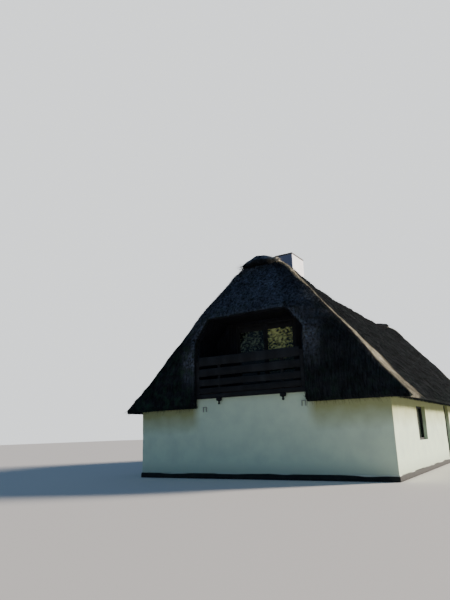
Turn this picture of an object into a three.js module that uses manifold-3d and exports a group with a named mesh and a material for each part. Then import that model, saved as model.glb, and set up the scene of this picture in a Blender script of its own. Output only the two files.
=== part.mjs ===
// A thatched cottage: limewashed walls under a steep thatch with rounded, hipped ends,
// and a loggia with a board railing let into the thatch of the front gable.
// Millimetres, +Z up. The origin is on the ground at the middle of the house,
// the loggia gable faces -Y and +X is to the right of somebody who looks at it.
import * as THREE from 'three';
import { mergeVertices } from 'three/addons/utils/BufferGeometryUtils.js';
import Module from 'manifold-3d';

const wasm = await Module();
wasm.setup();

// House
const WIDTH = 8000;
const LENGTH = 16000;
const WALL = 330;
const PLINTH_TOP = 150;
const PLINTH_PROUD = 12;
const WALL_TOP = 2290;
const FLOOR_THICKNESS = 180;
const DECK = WALL_TOP + FLOOR_THICKNESS;
const BACK = LENGTH / 2;
const FRONT = -BACK;
const SIDE = WIDTH / 2;
const INSIDE = SIDE - WALL;

// Gap between pieces that are cut to each other, play of a piece that fits loosely,
// how far a cutting tool runs past the piece it cuts, and a distance beyond the house
const CLEARANCE = 0.3;
const PLAY = 5;
const PAST = 10;
const FAR = LENGTH;

// Thatch
const PITCH = THREE.MathUtils.degToRad(50.8);
const THATCH = 320;
const EAVE = 2025;
const RIDGE_RADIUS = 1500;
const RIDGE_CENTRE = 5218;
const RIDGE_TOP = RIDGE_CENTRE + RIDGE_RADIUS;
const FRONT_OVERHANG = 220;
const FRONT_THATCH = 350;
const HIP_RUN = 0.307;
const HIP_FULLNESS = 4;
const APEX_SETBACK = 1330;
const HIP_END = 1500;

// The ridge is swept up towards both ends: over the middle of the house the roof
// is lower by this share of its height over the eave.
const SWEEP = 0.095;
const SWEEP_START = 2000;
const SWEEP_END = 6670;
const SWEEP_CURVE = 2.5;

// Hand-laid straw swells and sinks a little: how far, and how long the waves are
const SWELL = 22;
const SWELL_X = 2300;
const SWELL_Y = 2050;
const SWELL_Z = 1750;

// Loggia
const OPENING_HALF = 1810;
const OPENING_CHAMFER = 4130;
const OPENING_TOP = 4740;
const OPENING_TOP_HALF = 1340;
const HOOD_LIP = 190;
const LINING = 40;
const LINING_SETBACK = 150;
const LOGGIA_DEPTH = 1200;
const BACK_WALL = 100;

// Railing
const BEAM_HEIGHT = 130;
const BEAM_DEPTH = 100;
const BOARD_THICKNESS = 40;
const RAIL_BOARDS = [
  { bottom: 3270, height: 270, taper: 70 },
  { bottom: 2955, height: 225, taper: 0 },
  { bottom: 2665, height: 195, taper: 0 },
  { bottom: 2440, height: 165, taper: 0 },
];
const END_POST_WIDTH = 130;
const POST_WIDTH = 90;
const POST_TOP = 3450;
const PENDANTS = { left: -985, right: 1100 };
const PENDANT_RADIUS = 85;
const PENDANT_HEIGHT = 190;
const PENDANT_PLAY = 3;

// Glazed doors of the loggia
const DOOR_HALF = 1060;
const DOOR_HEIGHT = 2190;
const DOOR_FRAME = 60;
const LEAF_STILE = 70;
const LEAF_FOOT = 300;
const LEAF_DEPTH = 50;
const LEAF_SETBACK = 20;
const LEAF_PLAY = 2;
const GLASS = 8;

// Windows and entrance of the long sides
const WINDOW_SILL = 900;
const WINDOW_HEAD = 1880;
const WINDOW_WIDTH = 1250;
const SASH = 55;
const SASH_DEPTH = 80;
const REVEAL = 110;
const ENTRANCE_WIDTH = 960;
const ENTRANCE_HEAD = 2050;
const ENTRANCE_SETBACK = 15;
const ENTRANCE_DOOR = 55;
const LEFT_WINDOWS = [-4600, 0, 4600];
const RIGHT_WINDOWS = [-4600, 4600];
const ENTRANCE_Y = 0;

// Chimney
const STACK_HALF = 330;
const STACK_FRONT = FRONT + 3000;
const STACK_DEPTH = 1030;
const STACK_TOP = 7440;
const SLAB_THICKNESS = 40;
const SLAB_PROUD = 15;
const FLUE_HALF = 130;
const FLUE_LENGTH = 260;
const FLUE_BOTTOM = 1200;

// Ridge cap
const CAP_THICKNESS = 100;
const CAP_EDGE = 6420;
const CAP_SETBACK = 1150;

// Iron staples
const STAPLE_BAR = 18;
const STAPLE_HALF = 64;
const STAPLE_HEIGHT = 150;
const STAPLE_DEPTH = 30;
const STAPLES = { left: [-1540, 1900], right: [1670, 1915] };

const materials = {
  limewash: new THREE.MeshStandardMaterial({ color: 0xe9ece4, roughness: 0.92 }),
  tar: new THREE.MeshStandardMaterial({ color: 0x26282a, roughness: 0.7 }),
  thatch: new THREE.MeshStandardMaterial({ color: 0x4a443d, roughness: 1 }),
  heather: new THREE.MeshStandardMaterial({ color: 0x2e2620, roughness: 1 }),
  timber: new THREE.MeshStandardMaterial({ color: 0x2b2420, roughness: 0.75 }),
  lining: new THREE.MeshStandardMaterial({ color: 0x241f1d, roughness: 0.8 }),
  joinery: new THREE.MeshStandardMaterial({ color: 0x2a2523, roughness: 0.6 }),
  glass: new THREE.MeshStandardMaterial({
    color: 0x9fb4a8, roughness: 0.05, transparent: true, opacity: 0.35,
  }),
  iron: new THREE.MeshStandardMaterial({ color: 0x3a3d40, roughness: 0.6, metalness: 0.8 }),
  floor: new THREE.MeshStandardMaterial({ color: 0x8a8378, roughness: 0.9 }),
  slate: new THREE.MeshStandardMaterial({ color: 0x4b4c4f, roughness: 0.8 }),
};

const house = new THREE.Group();

function add(name, geometry, material) {
  const mesh = new THREE.Mesh(geometry, material.clone());
  mesh.name = name;
  house.add(mesh);
}

// Booleans: a closed geometry as a solid, and back again.
function solid(geometry) {
  const bare = geometry.clone();
  bare.deleteAttribute('normal');
  bare.deleteAttribute('uv');
  const merged = mergeVertices(bare, 1e-3);
  return new wasm.Manifold(new wasm.Mesh({
    numProp: 3,
    vertProperties: new Float32Array(merged.attributes.position.array),
    triVerts: new Uint32Array(merged.index.array),
  }));
}

function surface(manifold) {
  const mesh = manifold.getMesh();
  const geometry = new THREE.BufferGeometry();
  geometry.setAttribute('position', new THREE.BufferAttribute(mesh.vertProperties, 3));
  geometry.setIndex(new THREE.BufferAttribute(mesh.triVerts, 1));
  geometry.computeVertexNormals();
  return geometry;
}

function cut(geometry, ...tools) {
  let result = solid(geometry);
  for (const tool of tools) result = result.subtract(solid(tool));
  return surface(result);
}

function join(geometry, ...others) {
  let result = solid(geometry);
  for (const other of others) result = result.add(solid(other));
  return surface(result);
}

function common(geometry, other) {
  return surface(solid(geometry).intersect(solid(other)));
}

// A box from its lowest to its highest corner.
function box(x0, x1, y0, y1, z0, z1) {
  const geometry = new THREE.BoxGeometry(x1 - x0, y1 - y0, z1 - z0);
  return geometry.translate((x0 + x1) / 2, (y0 + y1) / 2, (z0 + z1) / 2);
}

// An upright outline of [x, z] points carried along Y from y0 to y1.
function prism(points, y0, y1) {
  const shape = new THREE.Shape(points.map(([x, z]) => new THREE.Vector2(x, z)));
  const geometry = new THREE.ExtrudeGeometry(shape, { depth: y1 - y0, bevelEnabled: false });
  return geometry.rotateX(Math.PI / 2).translate(0, y1, 0);
}

// The four sides of a rectangular wall ring, all of the same thickness.
function wallRing(outerX, outerY, thickness, z0, z1) {
  const innerX = outerX - thickness;
  const innerY = outerY - thickness;
  const block = box(-outerX, outerX, -outerY, outerY, z0, z1);
  return cut(block, box(-innerX, innerX, -innerY, innerY, z0 - PAST, z1 + PAST));
}

// Plinth, ground floor and gable walls
const plinthX = SIDE + PLINTH_PROUD;
const plinthY = BACK + PLINTH_PROUD;
const slabY = BACK - WALL;
add('plinth', wallRing(plinthX, plinthY, WALL + PLINTH_PROUD, 0, PLINTH_TOP), materials.tar);
add('ground_floor', box(-INSIDE, INSIDE, -slabY, slabY, 0, PLINTH_TOP), materials.floor);
add('front_wall', box(-SIDE, SIDE, FRONT, FRONT + WALL, PLINTH_TOP, WALL_TOP), materials.limewash);
add('rear_wall', box(-SIDE, SIDE, BACK - WALL, BACK, PLINTH_TOP, WALL_TOP), materials.limewash);

// A hole through a long wall, centred on y.
function wallHole(side, y, width, z0, z1) {
  const inner = side * (INSIDE - PAST);
  const outer = side * (SIDE + PAST);
  return box(Math.min(inner, outer), Math.max(inner, outer), y - width / 2, y + width / 2, z0, z1);
}

function longWall(side, windows, entrances) {
  const x0 = side < 0 ? -SIDE : INSIDE;
  const wall = box(x0, x0 + WALL, FRONT + WALL, BACK - WALL, PLINTH_TOP, WALL_TOP);
  const windowHoles = windows.map((y) => wallHole(side, y, WINDOW_WIDTH, WINDOW_SILL, WINDOW_HEAD));
  const doorHoles = entrances.map((y) => wallHole(side, y, ENTRANCE_WIDTH, PLINTH_TOP - PAST, ENTRANCE_HEAD));
  return cut(wall, ...windowHoles, ...doorHoles);
}
add('left_wall', longWall(-1, LEFT_WINDOWS, []), materials.limewash);
add('right_wall', longWall(1, RIGHT_WINDOWS, [ENTRANCE_Y]), materials.limewash);

// A two-light window: its frame with a middle post, and one sheet of glass behind the post.
function addWindow(name, side, y) {
  const face = side * (SIDE - REVEAL);
  const rear = face - side * SASH_DEPTH;
  const x0 = Math.min(face, rear);
  const x1 = Math.max(face, rear);
  const half = WINDOW_WIDTH / 2;
  const block = box(x0, x1, y - half, y + half, WINDOW_SILL, WINDOW_HEAD);
  const light = [y - half + SASH, y + half - SASH, WINDOW_SILL + SASH, WINDOW_HEAD - SASH];
  const hole = box(x0 - PAST, x1 + PAST, ...light);
  const postX = side > 0 ? [x1 - SASH_DEPTH / 2, x1] : [x0, x0 + SASH_DEPTH / 2];
  const post = box(...postX, y - SASH / 2, y + SASH / 2, light[2] - PAST, light[3] + PAST);
  add(`window_frame_${name}`, join(cut(block, hole), post), materials.joinery);
  const paneX = side > 0 ? [postX[0] - GLASS, postX[0]] : [postX[1], postX[1] + GLASS];
  add(`window_glass_${name}`, box(...paneX, ...light), materials.glass);
}
LEFT_WINDOWS.forEach((y, i) => addWindow(`left_${i + 1}`, -1, y));
RIGHT_WINDOWS.forEach((y, i) => addWindow(`right_${i + 1}`, 1, y));

// Entrance: a fixed frame and a closed board door
function addEntrance() {
  const outer = SIDE - REVEAL;
  const inner = outer - SASH_DEPTH;
  const half = ENTRANCE_WIDTH / 2;
  const clear = half - SASH;
  const head = ENTRANCE_HEAD - SASH;
  const block = box(inner, outer, ENTRANCE_Y - half, ENTRANCE_Y + half, PLINTH_TOP, ENTRANCE_HEAD);
  const doorway = [ENTRANCE_Y - clear, ENTRANCE_Y + clear];
  const hole = box(inner - PAST, outer + PAST, ...doorway, PLINTH_TOP - PAST, head);
  add('entrance_frame', cut(block, hole), materials.joinery);
  const face = outer - ENTRANCE_SETBACK;
  add('entrance_door', box(face - ENTRANCE_DOOR, face, ...doorway, PLINTH_TOP, head), materials.timber);
}
addEntrance();

// Half the roof's width at height z: two slopes that meet in a round ridge.
// inset moves the surface inwards, square to itself.
function halfWidth(z, inset) {
  const radius = RIDGE_RADIUS - inset;
  const tangent = RIDGE_CENTRE + radius * Math.cos(PITCH);
  if (z > tangent) return Math.sqrt(Math.max(radius ** 2 - (z - RIDGE_CENTRE) ** 2, 0));
  return radius * Math.sin(PITCH) + (tangent - z) / Math.tan(PITCH);
}

// Distance of the hip's corner behind the front wall at height z.
function cornerSetback(z) {
  return (z - EAVE) * HIP_RUN - FRONT_OVERHANG;
}

// Distance of the middle of the front thatch behind the front wall: nearly upright
// beside the loggia, then a hood that leans back to the ridge's end.
function middleSetback(z) {
  if (z < OPENING_TOP) {
    const part = (z - EAVE) / (OPENING_TOP - EAVE);
    return THREE.MathUtils.lerp(-FRONT_OVERHANG, -HOOD_LIP, part);
  }
  const part = (z - OPENING_TOP) / (RIDGE_TOP - OPENING_TOP);
  return THREE.MathUtils.lerp(-HOOD_LIP, APEX_SETBACK, part);
}

// Height z of the plain roof, lowered as the swept ridge is at y.
function swept(y, z) {
  const part = THREE.MathUtils.clamp((Math.abs(y) - SWEEP_START) / (SWEEP_END - SWEEP_START), 0, 1);
  return EAVE + (z - EAVE) * (1 - SWEEP * (1 - part ** SWEEP_CURVE));
}

// Swelling of the laid straw at a place: three crossed waves that bend each other.
function swelling(x, y, z) {
  const turn = 2 * Math.PI;
  const up = (turn * z) / SWELL_Z;
  const across = Math.sin((turn * x) / SWELL_X + Math.sin(up));
  const along = Math.sin((turn * y) / SWELL_Y + 1.4 * Math.sin(0.7 * up));
  const rising = Math.sin(up + Math.sin((Math.PI * y) / SWELL_Y));
  return (SWELL * (across + along + rising)) / 2;
}

// Even places from -1 to 1, and places that lie closer together towards both ends.
function even(steps) {
  return Array.from({ length: 2 * steps + 1 }, (_, i) => i / steps - 1);
}
const ALONG = even(18);
const ACROSS = even(12).map((place) => Math.sin((place * Math.PI) / 2));

// Heights of the roof's level rings: straight slopes, then the round ridge.
function roofLevels(inset, bottom) {
  const radius = RIDGE_RADIUS - inset;
  const levels = [];
  for (let i = 0; i < 6; i++) levels.push(THREE.MathUtils.lerp(bottom, OPENING_TOP, i / 6));
  const tangent = RIDGE_CENTRE + radius * Math.cos(PITCH);
  for (let i = 0; i < 3; i++) levels.push(THREE.MathUtils.lerp(OPENING_TOP, tangent, i / 3));
  const flat = Math.PI / 2 - 0.03;
  for (let i = 0; i <= 6; i++) {
    const angle = THREE.MathUtils.lerp(Math.PI / 2 - PITCH, flat, i / 6);
    levels.push(RIDGE_CENTRE + radius * Math.sin(angle));
  }
  return levels;
}

// The roof's outline at height z: the front's curve, fullest in the middle and falling
// back to the hips, then the right side, and the same turned half round. The inside of
// the thatch is even; its outside is pushed out by the swelling, square to the slope.
function roofOutline(z, inset, endInset) {
  const isOutside = inset <= CLEARANCE;
  const half = halfWidth(z, inset);
  const corner = cornerSetback(z) + endInset;
  const middle = Math.min(middleSetback(z) + endInset, corner);
  const front = ACROSS.map((across) => {
    const hollow = Math.abs(across) ** HIP_FULLNESS;
    const y = FRONT + middle + (corner - middle) * hollow;
    const push = isOutside ? swelling(half * across, y, z) : 0;
    return [(half + push / Math.sin(PITCH)) * across, y - push];
  });
  const side = ALONG.slice(1, -1).map((along) => {
    const y = (BACK - corner) * along;
    const push = isOutside ? swelling(half, y, z) : 0;
    return [half + push / Math.sin(PITCH), y];
  });
  const points = [...front, ...side];
  return [...points, ...points.map(([x, y]) => [-x, -y])];
}

// The whole roof as one closed body, lofted through level outlines and then swept.
function roofBody(inset, endInset, bottom) {
  const levels = roofLevels(inset, bottom);
  const rings = levels.map((z) => roofOutline(z, inset, endInset).map(([x, y]) => [x, y, swept(y, z)]));
  const count = rings[0].length;
  const faces = [];
  for (let level = 0; level + 1 < levels.length; level++) {
    for (let i = 0; i < count; i++) {
      const a = level * count + i;
      const b = level * count + (i + 1) % count;
      faces.push(a, b, b + count, a, b + count, a + count);
    }
  }
  const top = (levels.length - 1) * count;
  function closeEnds(a, b, c) {
    faces.push(top + a, top + b, top + c, a, c, b);
  }
  const turned = count / 2;
  const corner = ACROSS.length - 1;
  for (let i = 1; i < corner; i++) {
    closeEnds(0, i, i + 1);
    closeEnds(turned, turned + i, turned + i + 1);
  }
  for (let i = 0; i + 1 < ALONG.length; i++) {
    const left = (count - i) % count;
    closeEnds(left, corner + i, corner + i + 1);
    closeEnds(left, corner + i + 1, count - i - 1);
  }
  const geometry = new THREE.BufferGeometry();
  geometry.setAttribute('position', new THREE.Float32BufferAttribute(rings.flat(2), 3));
  geometry.setIndex(faces);
  return geometry;
}

// Upper floor, with a hole for the stack
const lowestPart = 1 - SWEEP;
const floorHalf = halfWidth(EAVE + (DECK - EAVE) / lowestPart, THATCH) - PLAY;
const stackBack = STACK_FRONT + STACK_DEPTH;
const overStack = STACK_TOP + FAR;
const stackHole = box(-STACK_HALF, STACK_HALF, STACK_FRONT, stackBack, 0, overStack);
add('upper_floor', cut(box(-floorHalf, floorHalf, FRONT, BACK, WALL_TOP, DECK), stackHole), materials.floor);

// Chimney
const flueY = (STACK_FRONT + stackBack) / 2;
const flueEnds = [flueY - FLUE_LENGTH / 2, flueY + FLUE_LENGTH / 2];
const flue = box(-FLUE_HALF, FLUE_HALF, ...flueEnds, FLUE_BOTTOM, overStack);
const stack = box(-STACK_HALF, STACK_HALF, STACK_FRONT, stackBack, PLINTH_TOP, STACK_TOP);
add('chimney_stack', cut(stack, flue), materials.limewash);
const slabX = STACK_HALF + SLAB_PROUD;
const slabPlaces = [-slabX, slabX, STACK_FRONT - SLAB_PROUD, stackBack + SLAB_PROUD];
const slab = box(...slabPlaces, STACK_TOP, STACK_TOP + SLAB_THICKNESS);
add('chimney_cap', cut(slab, flue), materials.slate);

// The loggia's outline, grown by a margin: upright jambs, slanting upper corners, level head.
function loggiaOutline(margin, bottom) {
  const slant = margin * Math.tan(PITCH / 2);
  return [
    [-OPENING_HALF - margin, bottom],
    [OPENING_HALF + margin, bottom],
    [OPENING_HALF + margin, OPENING_CHAMFER + slant],
    [OPENING_TOP_HALF + slant, OPENING_TOP + margin],
    [-OPENING_TOP_HALF - slant, OPENING_TOP + margin],
    [-OPENING_HALF - margin, OPENING_CHAMFER + slant],
  ];
}

// A box's cutting tool, larger than the box by the clearance.
function roomFor(x, y0, y1, z0, z1) {
  return box(-x - CLEARANCE, x + CLEARANCE, y0 - CLEARANCE, y1 + CLEARANCE, z0, z1 + CLEARANCE);
}

// Thatch: one coat over the walls and the loggia, parted into its slopes and ends
const liningFront = FRONT + LINING_SETBACK;
const backWall = FRONT + LOGGIA_DEPTH;
const stackRoom = roomFor(STACK_HALF, STACK_FRONT, stackBack, 0, overStack);
const liningRoom = prism(
  loggiaOutline(LINING + CLEARANCE, WALL_TOP),
  liningFront - CLEARANCE,
  backWall + BACK_WALL + CLEARANCE,
);
const coat = cut(
  roofBody(0, 0, EAVE),
  roofBody(THATCH, FRONT_THATCH, EAVE - THATCH),
  roomFor(SIDE, FRONT, BACK, 0, WALL_TOP),
  roomFor(floorHalf, FRONT, BACK, WALL_TOP, DECK),
  stackRoom,
  prism(loggiaOutline(0, 0), FRONT - FAR, backWall),
  liningRoom,
);
const frontEnd = FRONT + HIP_END;
const rearEnd = BACK - HIP_END;
const thatchPlaces = {
  left: [-FAR, 0, frontEnd, rearEnd, 0],
  right: [0, FAR, frontEnd, rearEnd, 0],
  front_left: [-FAR, -OPENING_HALF, -FAR, frontEnd, 0],
  front_right: [OPENING_HALF, FAR, -FAR, frontEnd, 0],
  hood: [-OPENING_HALF, OPENING_HALF, -FAR, frontEnd, OPENING_CHAMFER],
  rear: [-FAR, FAR, rearEnd, FAR, 0],
};
for (const [name, place] of Object.entries(thatchPlaces)) {
  add(`thatch_${name}`, common(coat, box(...place, FAR)), materials.thatch);
}

// Everything over the swept height of an edge, between both ends of the ridge cap.
function spaceOverRidge(edge) {
  const end = BACK - CAP_SETBACK;
  const lower = ALONG.map((along) => new THREE.Vector2(end * along, swept(end * along, edge)));
  const shape = new THREE.Shape([...lower, new THREE.Vector2(end, FAR), new THREE.Vector2(-end, FAR)]);
  const geometry = new THREE.ExtrudeGeometry(shape, { depth: WIDTH, bevelEnabled: false });
  return geometry.rotateX(Math.PI / 2).rotateZ(Math.PI / 2).translate(-WIDTH / 2, 0, 0);
}

// Ridge cap: a thicker saddle laid over the ridge
const capBody = roofBody(-CAP_THICKNESS, -CAP_THICKNESS, EAVE);
const capBed = roofBody(-CLEARANCE, -CLEARANCE, EAVE - PAST);
add('ridge_cap', cut(common(capBody, spaceOverRidge(CAP_EDGE)), capBed, stackRoom), materials.heather);

// Loggia: side walls, ceiling and the back wall with its glazed doors
const liningBody = prism(loggiaOutline(LINING, DECK), liningFront, backWall);
const lining = cut(liningBody, prism(loggiaOutline(0, DECK - PAST), liningFront - PAST, backWall + PAST));
const liningPlaces = {
  left_wall: [-FAR, 0, -FAR, 0, DECK, OPENING_CHAMFER],
  right_wall: [0, FAR, -FAR, 0, DECK, OPENING_CHAMFER],
  ceiling: [-FAR, FAR, -FAR, 0, OPENING_CHAMFER, FAR],
};
for (const [name, place] of Object.entries(liningPlaces)) {
  add(`loggia_${name}`, common(lining, box(...place)), materials.lining);
}

const doorTop = DECK + DOOR_HEIGHT;
const wallRear = backWall + BACK_WALL;
const doorway = box(-DOOR_HALF, DOOR_HALF, backWall - PAST, wallRear + PAST, DECK - PAST, doorTop);
const backWallBody = prism(loggiaOutline(LINING, DECK), backWall, wallRear);
add('loggia_back_wall', cut(backWallBody, doorway), materials.lining);
const frameInner = DOOR_HALF - DOOR_FRAME;
const frameTop = doorTop - DOOR_FRAME;
const doorFrame = cut(
  box(-DOOR_HALF, DOOR_HALF, backWall, wallRear, DECK, doorTop),
  box(-frameInner, frameInner, backWall - PAST, wallRear + PAST, DECK - PAST, frameTop),
);
add('loggia_door_frame', doorFrame, materials.joinery);

function addLeaf(name, x0, x1) {
  const y0 = backWall + LEAF_SETBACK;
  const y1 = y0 + LEAF_DEPTH;
  const pane = [x0 + LEAF_STILE, x1 - LEAF_STILE];
  const height = [DECK + LEAF_FOOT, frameTop - LEAF_STILE];
  const hole = box(...pane, y0 - PAST, y1 + PAST, ...height);
  add(`loggia_door_${name}`, cut(box(x0, x1, y0, y1, DECK, frameTop), hole), materials.joinery);
  const glassY = y0 + (LEAF_DEPTH - GLASS) / 2;
  add(`loggia_glass_${name}`, box(...pane, glassY, glassY + GLASS, ...height), materials.glass);
}
addLeaf('left', -frameInner, -LEAF_PLAY);
addLeaf('right', LEAF_PLAY, frameInner);

// Railing: a beam along the floor's edge, posts on it, and four wide boards between
// the end posts, in front of the two inner ones
const railHalf = OPENING_HALF - PLAY;
const beamFront = FRONT - BEAM_DEPTH;
const beamTop = WALL_TOP + BEAM_HEIGHT;
add('balcony_beam', box(-railHalf, railHalf, beamFront, FRONT, WALL_TOP, beamTop), materials.timber);
const boardHalf = railHalf - END_POST_WIDTH;
const boardBack = beamFront + BOARD_THICKNESS;
RAIL_BOARDS.forEach(({ bottom, height, taper }, i) => {
  const outline = [
    [-boardHalf, bottom],
    [boardHalf, bottom],
    [boardHalf, bottom + height - taper],
    [-boardHalf, bottom + height],
  ];
  add(`rail_board_${i + 1}`, prism(outline, beamFront, boardBack), materials.timber);
});
const endPlaces = { left_end: [-railHalf, -boardHalf], right_end: [boardHalf, railHalf] };
for (const [name, place] of Object.entries(endPlaces)) {
  add(`rail_post_${name}`, box(...place, beamFront, FRONT, beamTop, POST_TOP), materials.timber);
}
for (const [name, x] of Object.entries(PENDANTS)) {
  const place = [x - POST_WIDTH / 2, x + POST_WIDTH / 2, boardBack, FRONT];
  add(`rail_post_${name}`, box(...place, beamTop, POST_TOP), materials.timber);
}

// Turned pendants under the beam
function pendant() {
  const profile = [
    [0, 0], [12, 8], [25, 35], [22, 115], [50, 135],
    [PENDANT_RADIUS, 160], [PENDANT_RADIUS, PENDANT_HEIGHT], [0, PENDANT_HEIGHT],
  ];
  const geometry = new THREE.LatheGeometry(profile.map(([r, z]) => new THREE.Vector2(r, z)), 12);
  return geometry.rotateX(Math.PI / 2);
}
for (const [name, x] of Object.entries(PENDANTS)) {
  const place = [x, FRONT - PENDANT_RADIUS - PENDANT_PLAY, WALL_TOP - PENDANT_HEIGHT];
  add(`beam_pendant_${name}`, pendant().translate(...place), materials.timber);
}

// Iron staples on the wall: a bar with a leg hanging from each end
function staple(x, bottom) {
  const top = bottom + STAPLE_HEIGHT;
  const place = [FRONT - STAPLE_DEPTH, FRONT];
  const bar = box(x - STAPLE_HALF, x + STAPLE_HALF, ...place, top - STAPLE_BAR, top);
  const left = box(x - STAPLE_HALF, x - STAPLE_HALF + STAPLE_BAR, ...place, bottom, top);
  const right = box(x + STAPLE_HALF - STAPLE_BAR, x + STAPLE_HALF, ...place, bottom, top);
  return join(bar, left, right);
}
for (const [name, place] of Object.entries(STAPLES)) {
  add(`wall_staple_${name}`, staple(...place), materials.iron);
}

export default house;
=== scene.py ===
# %% [markdown]
# # A thatched cottage
# A small limewashed house under a heavy, steep thatch. Its gable has a loggia with a board
# railing let into the straw. The construction is already made: this notebook loads it as a
# fixed frame and dresses every piece with its real surface, in metres, in the same place.

import functools
import math

import bpy
import numpy as np
from mathutils import Matrix, Vector


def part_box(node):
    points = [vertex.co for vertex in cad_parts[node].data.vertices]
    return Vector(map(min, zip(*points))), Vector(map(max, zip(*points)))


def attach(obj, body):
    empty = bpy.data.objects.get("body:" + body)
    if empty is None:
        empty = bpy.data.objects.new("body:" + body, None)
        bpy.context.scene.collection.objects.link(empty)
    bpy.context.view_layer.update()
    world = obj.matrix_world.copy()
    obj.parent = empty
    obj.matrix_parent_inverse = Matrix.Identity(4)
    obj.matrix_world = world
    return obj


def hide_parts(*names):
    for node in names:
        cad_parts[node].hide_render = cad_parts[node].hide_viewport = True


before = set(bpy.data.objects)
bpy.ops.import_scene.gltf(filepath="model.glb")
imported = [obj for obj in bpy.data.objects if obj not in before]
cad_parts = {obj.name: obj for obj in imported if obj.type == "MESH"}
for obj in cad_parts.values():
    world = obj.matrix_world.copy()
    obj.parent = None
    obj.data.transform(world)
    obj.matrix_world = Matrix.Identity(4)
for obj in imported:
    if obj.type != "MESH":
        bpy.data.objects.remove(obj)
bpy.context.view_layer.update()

# %% [markdown]
# ## Sizes read from the frame
# Every size comes from the frame's own pieces, so the dressing can't drift from the
# construction. Only what a box can't tell, such as the curve of the hips, is repeated here.

# %% Driving sizes
def span(node):
    """Lowest and highest corner of a piece of the frame, as two rows of an array."""
    return np.array(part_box(node))


wall_low, wall_high = span("front_wall")
side, wall_back, wall_top = wall_high
front, plinth_top = wall_low[1:]
rear, wall_depth = -front, wall_back - front
deck = span("upper_floor")[1][2]
eave = span("thatch_left")[0][2]
opening_half = -span("thatch_front_left")[1][0]
chamfer_level = span("thatch_hood")[0][2]
stack_low, stack_high = span("chimney_stack")
stack_middle, stack_half = (stack_low + stack_high)[1] / 2, (stack_high - stack_low)[1] / 2

# The slopes' angle, the depth of the thatch on slopes and ends, and how far it passes the wall.
pitch = math.radians(50.8)
thatch_depth, end_depth, overhang = 0.32, 0.35, 0.22
# The circle over the ridge, and the level where the slopes run into it.
ridge_radius, ridge_centre = 1.5, 5.218
ridge_top = ridge_centre + ridge_radius
tangent_level = ridge_centre + ridge_radius * math.cos(pitch)
# The ends: a hip's lean, the power that makes an end full, and the hood's lean.
hip_run, hip_fullness = 0.307, 4
apex_setback, hood_lip = 1.33, 0.19
# The ridge's sag: its share of the height, and the stretch over which it fades.
sag, sag_full, sag_end = 0.095, 2.0, 6.67
# The loggia's head, the boards that line it, and the ridge cap.
opening_top, opening_top_half, lining = 4.74, 1.34, 0.04
cap_edge, cap_depth = 6.42, 0.1
print("gable", round(2 * side, 2), "m wide, eaves at", round(eave, 3), "ridge", round(ridge_top, 3))

# %% [markdown]
# ## Colours and shader nodes
# A colour is written as the sRGB hex that a paint chart would give, and one function turns it
# into the linear values that light is worked out in. One more adds a shader node, sets it,
# links it, and hands back the socket that the next node wants. A finish is then built up as
# on the house: coats over a base colour, each spread by a pattern of its own.

# %% Helpers for materials
def srgb(code):
    """An sRGB hex colour as linear red, green and blue, and an alpha of 1."""
    parts = np.array([int(code[i:i + 2], 16) for i in (1, 3, 5)]) / 255
    linear = np.where(parts <= 0.04045, parts / 12.92, ((parts + 0.055) / 1.055) ** 2.4)
    return (*linear, 1.0)


def feed(tree, socket, value):
    """Links a node's output to an input socket, or sets that socket to a plain value."""
    if isinstance(value, bpy.types.NodeSocket):
        tree.links.new(value, socket)
    else:
        socket.default_value = value


def add_node(tree, kind, inputs, output=0, **settings):
    """Adds one shader node with its settings; inputs are values or links. Returns one output."""
    node = tree.nodes.new("ShaderNode" + kind)
    for key, value in settings.items():
        setattr(node, key, value)
    for key, value in inputs.items():
        feed(tree, node.inputs[key], value)
    return node.outputs[output]


def new_material(name):
    """A material with only its Principled shader, and add_node for its tree."""
    material = bpy.data.materials.new(name)
    material.use_nodes = True
    return material, functools.partial(add_node, material.node_tree)


# Inputs and output of the Mix node when it mixes colours.
FACTOR, FIRST, SECOND, MIXED = 0, 6, 7, 2


def lay_coats(material, base, coats, tone=None, **inputs):
    """Lays coats over a base colour, times tone, and feeds that and inputs to the shader.

    A coat is a pattern, its values where the coat starts and where it is full, a colour, and
    sometimes a mask that thins it. In an input's name _ stands for a space.
    """
    tree, colour = material.node_tree, srgb(base)
    for pattern, start, full, coat, *mask in coats:
        share = add_node(tree, "MapRange", {0: pattern, 1: start, 2: full})
        if mask:
            share = add_node(tree, "Math", {0: share, 1: mask[0]}, operation="MULTIPLY")
        layers = {FACTOR: share, FIRST: colour, SECOND: srgb(coat)}
        colour = add_node(tree, "Mix", layers, MIXED, data_type="RGBA")
    if tone:
        colour = add_node(tree, "VectorMath", {0: colour, "Scale": tone}, operation="SCALE")
    shader = tree.nodes["Principled BSDF"]
    for key, value in {"Base_Color": colour, **inputs}.items():
        feed(tree, shader.inputs[key.replace("_", " ")], value)
    print("made", material.name)
    return material
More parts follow.
